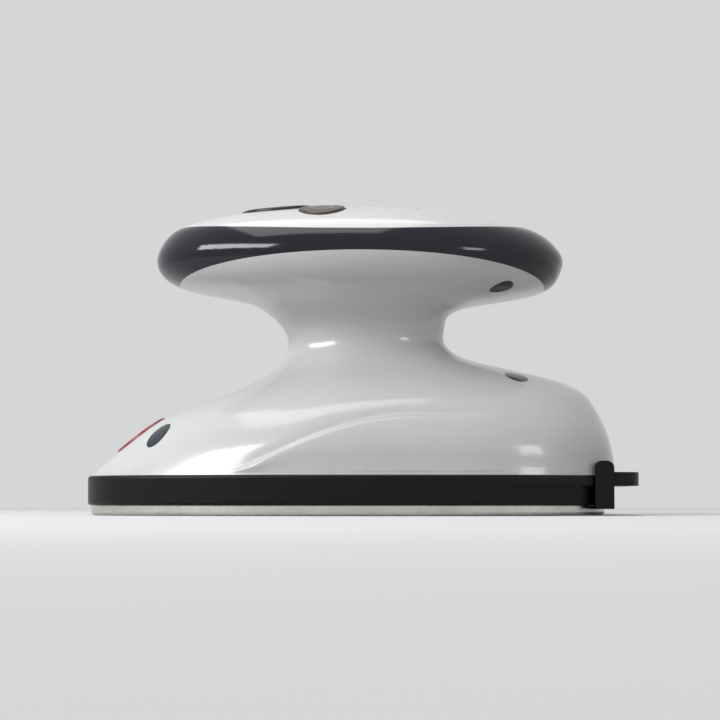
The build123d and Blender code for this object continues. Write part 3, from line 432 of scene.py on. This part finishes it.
def button_finish(name, colour, mark, centre):
    """A satin button with a pale ring printed round its middle."""
    material, tree, shader = moulded(
        name, colour, gloss=0.34, grain=0.3 * MM, depth=0.012 * MM, mottle=0.85
    )
    reach = axis_distance(tree, centre.x, centre.y)
    outside = calc(tree, "GREATER_THAN", reach, RING_MARK_INNER)
    inside = calc(tree, "LESS_THAN", reach, RING_MARK_OUTER)
    tint(tree, shader, calc(tree, "MULTIPLY", outside, inside), mark)
    return material


def dial_finish(colour):
    """A half-gloss knob with fine turned rings round its axis."""
    material, tree, shader = moulded(
        "dial_half_gloss", colour, gloss=0.24, grain=0.4 * MM, depth=0.01 * MM, mottle=0.82, coat=0.4
    )
    reach = axis_distance(tree, DIAL_CENTRE.x, DIAL_CENTRE.y)
    rings = calc(tree, "SINE", calc(tree, "MULTIPLY", reach, 2 * math.pi / DIAL_RING_PITCH))
    grain = shader.inputs["Normal"].links[0].from_socket
    tree.links.new(bumps(tree, rings, depth=0.012 * MM, normal=grain), shader.inputs["Normal"])
    return material


def cord_finish(colour):
    """Flexible grey sheath: matt, slightly dusty, with a fine extruded skin."""
    material, tree, shader = moulded(
        "cord_sheath", colour, gloss=0.52, grain=0.8 * MM, depth=0.03 * MM, mottle=0.88
    )
    dust = noise(tree, place(tree), size=5 * MM, detail=5)
    share = spread(tree, dust, low=0.5, high=0.8, to_high=0.4)
    tint(tree, shader, share, shade(colour, share=0.72))
    return material


def tank_finish():
    """Smoky clear plastic of the water tank."""
    material, _, shader = moulded(
        "tank_clear", (0.70, 0.78, 0.82), gloss=0.12, grain=2 * MM, depth=0.01 * MM, mottle=0.95
    )
    shader.inputs["Transmission Weight"].default_value = 0.85
    return material


def paint(material, *names):
    for name in names:
        slots = nodes[name].data.materials
        slots.clear()
        slots.append(material)


def new_piece(name, mesh, material, body):
    piece = bpy.data.objects.new(name, mesh)
    bpy.context.scene.collection.objects.link(piece)
    mesh.materials.append(material)
    for polygon in mesh.polygons:
        polygon.use_smooth = True
    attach(piece, body)
    return piece


def mesh_from(bm, name):
    mesh = bpy.data.meshes.new(name)
    bm.to_mesh(mesh)
    bm.free()
    return mesh


def add_ring(bm, centre, first, second, radius, sides):
    """A ring of points round a centre, in the plane of two directions."""
    ring = []
    for side in range(sides):
        angle = 2 * math.pi * side / sides
        outward = first * math.cos(angle) + second * math.sin(angle)
        ring.append(bm.verts.new(centre + outward * radius))
    return ring


def close_rings(bm, rings):
    """Walls from each ring of points to the next, and a face over each end."""
    for low, high in zip(rings, rings[1:]):
        for side in range(len(low)):
            following = (side + 1) % len(low)
            bm.faces.new((low[side], low[following], high[following], high[side]))
    bm.faces.new(rings[0][::-1])
    bm.faces.new(rings[-1])


def add_turned(bm, profile, start, axis, sides):
    """A closed solid of revolution: distances along an axis, each with its radius."""
    along = axis.normalized()
    first = along.orthogonal().normalized()
    second = along.cross(first)
    rings = []
    for distance, radius in profile:
        rings.append(add_ring(bm, start + along * distance, first, second, radius, sides))
    close_rings(bm, rings)


def surface_of(name):
    """A tree of a part's faces, to find its outer surface by shooting at it."""
    mesh = nodes[name].data
    corners = [vertex.co.copy() for vertex in mesh.vertices]
    faces = [tuple(polygon.vertices) for polygon in mesh.polygons]
    return BVHTree.FromPolygons(corners, faces)


def clamped(share):
    return min(max(share, 0), 1)


def ease(share):
    """From 0 to 1 with a soft start and a soft end."""
    share = clamped(share)
    return share * share * (3 - 2 * share)


def coil_centreline(sizes):
    """Points of the coil: inwards on the floor, up half a turn, outwards on top."""
    turns_in = (sizes.coil_outer - sizes.coil_inner) / sizes.coil_pitch
    count = round((turns_in + COIL_CLIMB_TURNS + COIL_TOP_TURNS) * COIL_POINTS_PER_TURN)
    # The curve touches the lines between its points, so the points stand a little further out
    swell = 1 / math.cos(math.pi / COIL_POINTS_PER_TURN)
    low = sizes.cord_diameter / 2
    points = []
    for index in range(count + 1):
        turn = index / COIL_POINTS_PER_TURN
        share = (turn - turns_in) / COIL_CLIMB_TURNS
        if share <= 0:
            radius, height = sizes.coil_outer - sizes.coil_pitch * turn, low
        elif share <= 1:
            radius = sizes.coil_inner - sizes.coil_pitch / (2 * math.pi) * math.sin(math.pi * share)
            height = low + sizes.coil_lift * (1 - math.cos(math.pi * share)) / 2
        else:
            radius = sizes.coil_inner + sizes.coil_pitch * (turn - turns_in - COIL_CLIMB_TURNS)
            height = low + sizes.coil_lift
        if 0 < index < count:
            radius *= swell
        angle = 2 * math.pi * turn
        x = sizes.coil_centre_x + radius * math.cos(angle)
        y = sizes.coil_centre_y + radius * math.sin(angle)
        points.append(Vector((x, y, height)))
    return points


class IRON_OT_camera(bpy.types.Operator):
    """Set the camera low in front of the iron's long side, as in the photograph"""

    bl_idname = "iron.camera"
    bl_label = "Camera"

    def execute(self, context):
        stage = context.scene.iron_stage
        lens = bpy.data.cameras.new("studio_camera")
        lens.lens = lens.sensor_width * stage.camera_distance / stage.view_width
        lens.clip_start = 0.01
        camera = bpy.data.objects.new("studio_camera", lens)
        camera.location = (0, -stage.camera_distance, stage.camera_height)
        aim = Vector((0, 0, stage.aim_height)) - camera.location
        camera.rotation_euler = aim.to_track_quat("-Z", "Y").to_euler()
        context.scene.collection.objects.link(camera)
        context.scene.camera = camera
        context.scene.view_settings.view_transform = "Standard"
        return {"FINISHED"}


class IRON_OT_bend_relief(bpy.types.Operator):
    """Mould the grooved sleeve that guards the cord where it leaves the housing"""

    bl_idname = "iron.bend_relief"
    bl_label = "Bend relief"

    def execute(self, context):
        finishes = context.scene.iron_finishes
        sizes = context.scene.iron_sizes
        rubber, _, _ = moulded(
            "relief_rubber", finishes.cord_grey, gloss=0.50, grain=0.6 * MM, depth=0.03 * MM, mottle=0.9
        )
        paint(rubber, "cord_stub")
        root, tip = Vector(RELIEF_ROOT) * MM, Vector(RELIEF_TIP) * MM
        profile = relief_profile((tip - root).length, sizes.relief_root, sizes.relief_tip)
        bm = bmesh.new()
        add_turned(bm, profile, root, tip - root, RELIEF_SIDES)
        sleeve = new_piece("bend_relief_sleeve", mesh_from(bm, "bend_relief_sleeve"), rubber, "iron")
        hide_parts("bend_relief")
        return {"FINISHED"}


def relief_profile(length, root, tip):
    """Distances along the sleeve and radii, with rounded lands between the grooves."""

    def radius_at(along):
        return root + (tip - root) * max(along - RELIEF_PLAIN, 0) / (length - RELIEF_PLAIN)

    def rounded_edge(edge, way):
        points = []
        for step in range(GROOVE_ROUND_STEPS + 1):
            angle = math.pi / 2 * step / GROOVE_ROUND_STEPS
            along = edge - way * GROOVE_ROUND * (1 - math.sin(angle))
            points.append((along, radius_at(along) - GROOVE_ROUND * (1 - math.cos(angle))))
        return points

    profile = [(-RELIEF_INSIDE, root), (0, root), (RELIEF_PLAIN, root)]
    for groove in range(RELIEF_GROOVES):
        start = GROOVE_START + groove * GROOVE_PITCH
        for edge, way in ((start, 1), (start + GROOVE_WIDTH, -1)):
            floor = edge + way * GROOVE_ROUND
            side = rounded_edge(edge, way) + [(floor, radius_at(floor) - GROOVE_DEPTH)]
            profile += side[::way]
    return profile + rounded_edge(length, 1)


class IRON_OT_supply_cord(bpy.types.Operator):
    """Lay the mains cord: down from its relief, into a flat coil, and on to the plug"""

    bl_idname = "iron.supply_cord"
    bl_label = "Supply cord"

    def execute(self, context):
        sizes = context.scene.iron_sizes
        line = bpy.data.curves.new("mains_cord", "CURVE")
        line.dimensions = "3D"
        line.bevel_depth = sizes.cord_diameter / 2
        line.bevel_resolution = 5
        line.resolution_u = 6
        line.use_fill_caps = True
        spline = line.splines.new("NURBS")
        points = [Vector(point) * MM for point in CORD_ROUTE]
        points += coil_centreline(sizes)
        points += [Vector(point) * MM for point in LEAD_ROUTE]
        spline.points.add(len(points) - 1)
        for control, point in zip(spline.points, points):
            control.co = (*point, 1)
        spline.order_u = 3
        spline.use_endpoint_u = True
        line.materials.append(cord_finish(context.scene.iron_finishes.cord_grey))
        cord = bpy.data.objects.new("mains_cord", line)
        context.scene.collection.objects.link(cord)
        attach(cord, "iron")
        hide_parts("supply_cord", "cord_coil", "plug_lead")
        return {"FINISHED"}


class IRON_OT_mains_plug(bpy.types.Operator):
    """Finish the mains plug with its pins and earth clips"""

    bl_idname = "iron.mains_plug"
    bl_label = "Mains plug"

    def execute(self, context):
        finishes = context.scene.iron_finishes
        rubber, _, _ = moulded(
            "plug_rubber", finishes.cord_grey, gloss=0.46, grain=0.5 * MM, depth=0.03 * MM, mottle=0.9
        )
        nickel = metal(
            "nickel_plate",
            (0.66, 0.64, 0.60),
            gloss=0.18,
            streaks=(0.3, 1, 1),
            size=0.5 * MM,
            depth=0.004 * MM,
        )
        paint(rubber, "plug_body")
        paint(nickel, "plug_pins", "plug_earth_clips")
        return {"FINISHED"}


class IRON_OT_housing(bpy.types.Operator):
    """Finish the white housing and handle cover, and lay a fold over each flank"""

    bl_idname = "iron.housing"
    bl_label = "Housing"

    def execute(self, context):
        white = shell_finish(context.scene.iron_finishes.shell_white)
        paint(white, "housing", "handle_cover")
        for side, name in ((-1, "flank_panel_near"), (1, "flank_panel_far")):
            new_piece(name, flank_panel(side, context.scene.iron_sizes), white, "iron")
        return {"FINISHED"}


def flank_crease(x):
    """Height of the fold's crease: it climbs from the skirt and levels out amidships."""
    share = clamped((x - CREASE_START_X) / (CREASE_LEVEL_X - CREASE_START_X))
    return CREASE_START_Z + (CREASE_LEVEL_Z - CREASE_START_Z) * math.sin(share * math.pi / 2)


def fold_rows(depth, lip, shoulder):
    """Distances below the crease of a column's points: close together where the lip turns."""
    rows = [shoulder * (step / SHOULDER_ROWS - 1) for step in range(SHOULDER_ROWS)]
    rows += [lip * step / LIP_ROWS for step in range(LIP_ROWS)]
    return rows + [lip + (depth - lip) * step / PANEL_ROWS for step in range(PANEL_ROWS + 1)]


def fold_lift(x, down, depth, lip, sizes):
    """How far the flank stands out: a shoulder above the crease and a lip below it."""
    past = x - CREASE_START_X
    left = 1 - ease((x - CREASE_LEVEL_X) / (CREASE_END_X - CREASE_LEVEL_X))
    if down < 0:
        share = -down / sizes.shoulder_reach
        proud = sizes.shoulder_proud * ease(past / SHOULDER_RUN_IN) * left
        return proud * share * (1 - share) ** 2 * SHOULDER_SCALE
    proud = sizes.panel_proud * ease(past / PANEL_RUN_IN) * left
    return proud * ease(down / lip) * (1 - ease((down - lip) / (depth - lip)))


def skin_cover(x, down, depth, sizes):
    """How far the skin lies over the housing, or under it along the skin's edge."""
    across = min(x - CREASE_START_X, CREASE_END_X - x, sizes.shoulder_reach + down) / SKIN_EDGE
    share = min(across, (depth - down) / SKIN_FOOT_EDGE)
    return SKIN_COVER * (2 * ease(share) - 1)


def flank_panel(side, sizes):
    """A closed skin over the flank that carries its fold and fades out at its edges."""
    skin = surface_of("housing")
    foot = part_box("housing")[0].z + SKIN_FOOT_GAP
    bm = bmesh.new()
    outer_rows, inner_rows = [], []
    for column in range(SKIN_COLUMNS + 1):
        x = CREASE_START_X + (CREASE_END_X - CREASE_START_X) * column / SKIN_COLUMNS
        top = flank_crease(x)
        depth = top - foot
        lip = min(sizes.panel_lip, LIP_LARGEST_SHARE * depth)
        outer_row, inner_row = [], []
        for down in fold_rows(depth, lip, sizes.shoulder_reach):
            start = Vector((x, side * FAR_OUT, top - down))
            hit, normal, _, _ = skin.ray_cast(start, Vector((0, -side, 0)))
            if hit is None:
                raise RuntimeError("the flank's fold found no housing under it")
            lift = fold_lift(x, down, depth, lip, sizes) + skin_cover(x, down, depth, sizes)
            outer_row.append(bm.verts.new(hit + normal * lift))
            inner_row.append(bm.verts.new(hit - normal * SKIN_DEPTH))
        outer_rows.append(outer_row)
        inner_rows.append(inner_row)
    close_skin(bm, outer_rows, inner_rows)
    return mesh_from(bm, "flank_panel")


def close_skin(bm, outer_rows, inner_rows):
    """Faces over two grids of points, one behind the other, with walls round their edges."""
    for grid in (outer_rows, inner_rows):
        for first, second in zip(grid, grid[1:]):
            for row in range(len(first) - 1):
                bm.faces.new((first[row], first[row + 1], second[row + 1], second[row]))
    outer_loop, inner_loop = grid_edge(outer_rows), grid_edge(inner_rows)
    for index, corner in enumerate(outer_loop):
        before = index - 1
        bm.faces.new((outer_loop[before], inner_loop[before], inner_loop[index], corner))
    bmesh.ops.recalc_face_normals(bm, faces=bm.faces)


def grid_edge(grid):
    """The points round a grid's edge, in order."""
    last_column = [line[-1] for line in grid[1:-1]]
    first_column = [line[0] for line in grid[1:-1]]
    return grid[0] + last_column + grid[-1][::-1] + first_column[::-1]


class IRON_OT_handle_ring(bpy.types.Operator):
    """Finish the glossy dark band round the handle"""

    bl_idname = "iron.handle_ring"
    bl_label = "Handle ring"

    def execute(self, context):
        colour = context.scene.iron_finishes.ring_navy
        navy, _, shader = moulded(
            "ring_gloss", colour, gloss=0.10, grain=1.1 * MM, depth=0.003 * MM, mottle=0.85
        )
        shader.inputs["Specular IOR Level"].default_value = 0.45
        paint(navy, "handle_ring")
        return {"FINISHED"}


class IRON_OT_buttons(bpy.types.Operator):
    """Finish the steam button, the two side buttons and their lamps"""

    bl_idname = "iron.buttons"
    bl_label = "Buttons and lamps"

    def execute(self, context):
        finishes = context.scene.iron_finishes
        rubber, _, _ = moulded(
            "steam_button_satin",
            finishes.button_black,
            gloss=0.30,
            grain=0.35 * MM,
            depth=0.015 * MM,
            mottle=0.85,
        )
        paint(rubber, "steam_button")
        brown = finishes.button_brown
        pale = tuple(min(1, channel * RING_MARK_PALER) for channel in brown)
        for name in ("power_button", "steam_lock_button"):
            low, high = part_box(name)
            paint(button_finish(name + "_satin", brown, pale, (low + high) / 2), name)
        lens, _, shader = moulded(
            "lamp_lens",
            finishes.lamp_red,
            gloss=0.10,
            grain=0.6 * MM,
            depth=0.01 * MM,
            mottle=0.7,
            coat=0.5,
        )
        shader.inputs["Transmission Weight"].default_value = 0.35
        paint(lens, "indicator_lamps")
        return {"FINISHED"}


class IRON_OT_dial(bpy.types.Operator):
    """Finish the temperature dial and its spindle, with the printed dots and pointer"""

    bl_idname = "iron.dial"
    bl_label = "Temperature dial"

    def execute(self, context):
        finishes = context.scene.iron_finishes
        paint(dial_finish(finishes.dial_green), "temperature_dial")
        steel = metal(
            "spindle_steel",
            (0.56, 0.56, 0.55),
            gloss=0.25,
            streaks=(1, 1, 0.1),
            size=0.4 * MM,
            depth=0.005 * MM,
        )
        paint(steel, "dial_spindle", "valve_rod")
        ink, _, _ = moulded(
            "printed_ink", finishes.mark_grey, gloss=0.35, grain=0.2 * MM, depth=0.004 * MM, mottle=0.8
        )
        new_piece("dial_dots", dial_dots(context.scene.iron_sizes.dot_radius), ink, "iron")
        pale, _, _ = moulded(
            "pointer_ink", finishes.shell_white, gloss=0.40, grain=0.2 * MM, depth=0.004 * MM, mottle=0.9
        )
        new_piece("dial_pointer", pointer_bar(), pale, "temperature_dial")
        return {"FINISHED"}


def dial_dots(radius):
    """One, two and three dots on the cover behind the dial's well, for low to high heat."""
    skin = surface_of("handle_cover")
    crown = (DOT_CROWN_HEIGHT_SHARE * DOT_HEIGHT, DOT_CROWN_RADIUS_SHARE * radius)
    profile = [(-DOT_HEIGHT, radius), (DOT_HEIGHT, radius), crown]
    reach = DIAL_RADIUS + DOT_GAP
    step = math.degrees(DOT_SPACING * radius / reach)
    bm = bmesh.new()
    for middle, count in DOT_GROUPS:
        for index in range(count):
            angle = math.radians(middle + (index - (count - 1) / 2) * step)
            x = DIAL_CENTRE.x + reach * math.cos(angle)
            y = DIAL_CENTRE.y + reach * math.sin(angle)
            hit, normal, _, _ = skin.ray_cast(Vector((x, y, FAR_OUT)), Vector((0, 0, -1)))
            if hit is None:
                raise RuntimeError("a printed dot found no cover under it")
            add_turned(bm, profile, hit, normal, DOT_SIDES)
    return mesh_from(bm, "dial_dots")


def pointer_bar():
    """A pale line let into one end of the dial's finger bar."""
    start = DIAL_CENTRE.x - DIAL_RADIUS + POINTER_INSET
    outline = []
    for centre, turn in ((start + POINTER_LENGTH, -90), (start, 90)):
        for step in range(POINTER_END_STEPS + 1):
            angle = math.radians(turn + 180 * step / POINTER_END_STEPS)
            x = centre + POINTER_HALF_WIDTH * math.cos(angle)
            outline.append((x, POINTER_HALF_WIDTH * math.sin(angle)))
    bm = bmesh.new()
    rings = []
    for height in (DIAL_HIGH.z - POINTER_DEPTH, DIAL_HIGH.z):
        rings.append([bm.verts.new((x, y, height)) for x, y in outline])
    close_rings(bm, rings)
    return mesh_from(bm, "pointer_bar")


class IRON_OT_filler_plug(bpy.types.Operator):
    """Finish the red water filler plug and its seal"""

    bl_idname = "iron.filler_plug"
    bl_label = "Filler plug"

    def execute(self, context):
        red, _, shader = moulded(
            "filler_soft_gloss",
            context.scene.iron_finishes.filler_red,
            gloss=0.22,
            grain=0.5 * MM,
            depth=0.008 * MM,
            mottle=0.78,
            coat=0.3,
        )
        shader.inputs["Subsurface Weight"].default_value = 0.12
        shader.inputs["Subsurface Radius"].default_value = (0.6 * MM, 0.2 * MM, 0.15 * MM)
        paint(red, "filler_plug")
        seal, _, _ = moulded(
            "seal_rubber", (0.05, 0.05, 0.052), gloss=0.55, grain=0.3 * MM, depth=0.02 * MM, mottle=0.8
        )
        paint(seal, "filler_seal", "chamber_seal", "rod_grommet")
        return {"FINISHED"}


class IRON_OT_screw_plugs(bpy.types.Operator):
    """Finish the caps over the screws, and the screws themselves"""

    bl_idname = "iron.screw_plugs"
    bl_label = "Screw plugs"

    def execute(self, context):
        cap, _, shader = moulded(
            "screw_cap_gloss",
            context.scene.iron_finishes.screw_plug,
            gloss=0.16,
            grain=0.6 * MM,
            depth=0.006 * MM,
            mottle=0.8,
            coat=0.4,
        )
        shader.inputs["Specular IOR Level"].default_value = 0.25
        paint(cap, "base_screw_plugs_nose", "base_screw_plugs_tail", "handle_screw_plugs")
        steel = metal(
            "screw_steel", (0.50, 0.50, 0.50), gloss=0.32, streaks=(1, 1, 0.4), size=0.5 * MM, depth=0.01 * MM
        )
        paint(steel, "base_screws", "carrier_screws", "handle_screws")
        return {"FINISHED"}


class IRON_OT_skirt(bpy.types.Operator):
    """Finish the black heat shield between housing and soleplate"""

    bl_idname = "iron.skirt"
    bl_label = "Heat shield"

    def execute(self, context):
        paint(skirt_finish(context.scene.iron_finishes.skirt_black), "heat_shield_skirt")
        return {"FINISHED"}


class IRON_OT_soleplate(bpy.types.Operator):
    """Finish the ground soleplate, its steam chamber lid and the heating element"""

    bl_idname = "iron.soleplate"
    bl_label = "Soleplate"

    def execute(self, context):
        paint(sole_finish(context.scene.iron_finishes.sole_metal), "soleplate")
        lid = metal(
            "pressed_lid", (0.55, 0.55, 0.54), gloss=0.35, streaks=(1, 0.2, 1), size=0.5 * MM, depth=0.01 * MM
        )
        paint(lid, "steam_chamber_lid", "fuse_clamp")
        tube = metal(
            "element_sheath",
            (0.28, 0.26, 0.24),
            gloss=0.42,
            streaks=(0.2, 1, 1),
            size=0.6 * MM,
            depth=0.02 * MM,
        )
        paint(tube, "heating_element", "element_pins")
        return {"FINISHED"}


class IRON_OT_inner_works(bpy.types.Operator):
    """Finish the pieces inside the housing: tank, carrier, switches, block and wires"""

    bl_idname = "iron.inner_works"
    bl_label = "Inner works"

    def execute(self, context):
        paint(tank_finish(), "water_tank")
        brass = metal(
            "brass_fitting",
            (0.68, 0.50, 0.24),
            gloss=0.28,
            streaks=(1, 1, 0.3),
            size=0.4 * MM,
            depth=0.008 * MM,
        )
        paint(brass, "drip_nozzle")
        ceramic, _, _ = moulded(
            "ceramic_white", (0.74, 0.72, 0.67), gloss=0.55, grain=0.4 * MM, depth=0.03 * MM, mottle=0.9
        )
        paint(ceramic, "thermostat", "pin_insulators", "terminal_block", "thermal_fuse")
        grey, _, _ = moulded(
            "carrier_grey", (0.30, 0.31, 0.32), gloss=0.48, grain=0.5 * MM, depth=0.02 * MM, mottle=0.88
        )
        paint(grey, "control_carrier", "cord_saddle")
        black, _, _ = moulded(
            "switch_black", (0.02, 0.02, 0.022), gloss=0.40, grain=0.4 * MM, depth=0.02 * MM, mottle=0.85
        )
        paint(black, "power_switch", "steam_lock_latch")
        sleeve, _, _ = moulded(
            "wire_sleeve", (0.62, 0.58, 0.50), gloss=0.58, grain=0.25 * MM, depth=0.04 * MM, mottle=0.85
        )
        paint(sleeve, "inner_wires")
        return {"FINISHED"}


class IRON_OT_springs(bpy.types.Operator):
    """Wind the springs under the three buttons"""

    bl_idname = "iron.springs"
    bl_label = "Button springs"

    def execute(self, context):
        steel = metal(
            "spring_steel", (0.60, 0.60, 0.60), gloss=0.22, streaks=(1, 1, 1), size=0.3 * MM, depth=0.004 * MM
        )
        wire = context.scene.iron_sizes.spring_wire
        for button in ("steam_button", "power_button", "steam_lock_button"):
            node = button + "_spring"
            low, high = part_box(node)
            piece = new_piece(node + "_wound", wound_spring(low, high, wire), steel, "iron")
            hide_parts(node)
            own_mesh(piece)
        return {"FINISHED"}


def wound_spring(low, high, wire):
    """A helical spring with flat ends that fills the given box."""
    centre = (low + high) / 2
    radius = (high.x - low.x) / 2 - wire
    upwards = Vector((0, 0, 1))
    bm = bmesh.new()
    rings = []
    for index in range(SPRING_TURNS * SPRING_STEPS + 1):
        turn = index / SPRING_STEPS
        share = clamped((turn - SPRING_FLAT_TURNS) / (SPRING_TURNS - 2 * SPRING_FLAT_TURNS))
        height = low.z + wire + share * (high.z - low.z - 2 * wire)
        angle = 2 * math.pi * turn
        outward = Vector((math.cos(angle), math.sin(angle), 0))
        middle = Vector((centre.x, centre.y, height)) + outward * radius
        rings.append(add_ring(bm, middle, outward, upwards, wire, SPRING_WIRE_SIDES))
    close_rings(bm, rings)
    bmesh.ops.recalc_face_normals(bm, faces=bm.faces)
    return mesh_from(bm, "wound_spring")


class IRON_OT_stage(bpy.types.Operator):
    """Set up the pale floor, its plain surround, the soft lamps and the even light"""

    bl_idname = "iron.stage"
    bl_label = "Stage"

    def execute(self, context):
        stage = context.scene.iron_stage
        floor = round_floor()
        floor.data.materials.append(floor_finish(stage))
        for each in LAMPS:
            lamp(context, *each)
        world_light(context, stage)
        return {"FINISHED"}


def round_floor():
    """A flat round sheet just under the soleplate."""
    bm = bmesh.new()
    bmesh.ops.create_circle(bm, cap_ends=True, radius=FLOOR_RADIUS, segments=FLOOR_SIDES)
    sheet = bpy.data.objects.new("round_floor", mesh_from(bm, "round_floor"))
    sheet.location.z = -FLOOR_DROP
    bpy.context.scene.collection.objects.link(sheet)
    return sheet


def floor_finish(stage):
    """Pale paper that fades into the surround, and throws little light back on the iron."""
    material, tree, shader = new_material("floor_paper")
    colour = tuple(stage.floor_colour)
    fibres = spread(tree, noise(tree, place(tree), size=2.5 * MM, detail=4), low=0.3, high=0.7)
    mixed = blend_colours(tree, fibres, colour, shade(colour, share=0.985))
    mixed = blend_colours(tree, seen_rays(tree), shade(colour, FLOOR_RETURN), mixed)
    tree.links.new(mixed, shader.inputs["Base Color"])
    shader.inputs["Roughness"].default_value = 0.75
    plain = tree.nodes.new("ShaderNodeEmission")
    plain.inputs["Color"].default_value = (*stage.backdrop_colour, 1)
    away = spread(tree, axis_distance(tree), FLOOR_SHOWN, FLOOR_GONE)
    share = calc(tree, "MULTIPLY", away, seen_rays(tree))
    show_mix(tree, share, shader.outputs["BSDF"], plain.outputs["Emission"], "Material Output")
    return material


def show_mix(tree, share, first, second, output):
    """Sends a mix of two shaders to the output node of that name."""
    mix = tree.nodes.new("ShaderNodeMixShader")
    tree.links.new(share, mix.inputs["Fac"])
    tree.links.new(first, mix.inputs[1])
    tree.links.new(second, mix.inputs[2])
    tree.links.new(mix.outputs["Shader"], tree.nodes[output].inputs["Surface"])


def lamp(context, name, location, aim, width, height, power):
    light = bpy.data.lights.new(name, "AREA")
    light.shape = "RECTANGLE"
    light.size = width
    light.size_y = height
    light.energy = power
    lit = bpy.data.objects.new(name, light)
    lit.location = location
    lit.rotation_euler = (Vector(aim) - Vector(location)).to_track_quat("-Z", "Y").to_euler()
    context.scene.collection.objects.link(lit)


def seen_rays(tree):
    """One for rays from the camera, from gloss and through clear plastic, else nought."""
    path = tree.nodes.new("ShaderNodeLightPath")
    rays = calc(tree, "MAXIMUM", path.outputs["Is Camera Ray"], path.outputs["Is Glossy Ray"])
    return calc(tree, "MAXIMUM", rays, path.outputs["Is Transmission Ray"])


def world_light(context, stage):
    """Even light all round; the camera, gloss and clear plastic see a pale surround."""
    world = bpy.data.worlds.new("studio_world")
    context.scene.world = world
    world.use_nodes = True
    tree = world.node_tree
    even = tree.nodes["Background"]
    even.inputs["Color"].default_value = (1, 1, 1, 1)
    even.inputs["Strength"].default_value = stage.world_level
    seen = tree.nodes.new("ShaderNodeBackground")
    seen.inputs["Color"].default_value = (*stage.backdrop_colour, 1)
    seen.inputs["Strength"].default_value = 1
    even_light, seen_light = even.outputs["Background"], seen.outputs["Background"]
    show_mix(tree, seen_rays(tree), even_light, seen_light, "World Output")


OPERATORS = (
    IRON_OT_camera,
    IRON_OT_bend_relief,
    IRON_OT_supply_cord,
    IRON_OT_mains_plug,
    IRON_OT_housing,
    IRON_OT_handle_ring,
    IRON_OT_buttons,
    IRON_OT_dial,
    IRON_OT_filler_plug,
    IRON_OT_screw_plugs,
    IRON_OT_skirt,
    IRON_OT_soleplate,
    IRON_OT_inner_works,
    IRON_OT_springs,
    IRON_OT_stage,
)


class IRON_PT_sidebar(bpy.types.Panel):
    """Steps that dress the steam iron, in the order in which they run"""

    bl_idname = "IRON_PT_sidebar"
    bl_label = "Mini Steam Iron"
    bl_space_type = "VIEW_3D"
    bl_region_type = "UI"
    bl_category = "Steam Iron"

    def draw(self, context):
        for operator in OPERATORS:
            self.layout.operator(operator.bl_idname)
        for group in (context.scene.iron_finishes, context.scene.iron_sizes, context.scene.iron_stage):
            box = self.layout.box()
            for name in group.bl_rna.properties.keys():
                if name not in ("rna_type", "name"):
                    box.prop(group, name)


CLASSES = (IronFinishes, IronSizes, IronStage, *OPERATORS, IRON_PT_sidebar)


def register():
    for each in CLASSES:
        bpy.utils.register_class(each)
    bpy.types.Scene.iron_finishes = bpy.props.PointerProperty(type=IronFinishes)
    bpy.types.Scene.iron_sizes = bpy.props.PointerProperty(type=IronSizes)
    bpy.types.Scene.iron_stage = bpy.props.PointerProperty(type=IronStage)


def unregister():
    del bpy.types.Scene.iron_stage
    del bpy.types.Scene.iron_sizes
    del bpy.types.Scene.iron_finishes
    for each in reversed(CLASSES):
        bpy.utils.unregister_class(each)


def main():
    register()
    for operator in OPERATORS:
        group, action = operator.bl_idname.split(".")
        getattr(getattr(bpy.ops, group), action)()


if __name__ == "__main__":
    main()
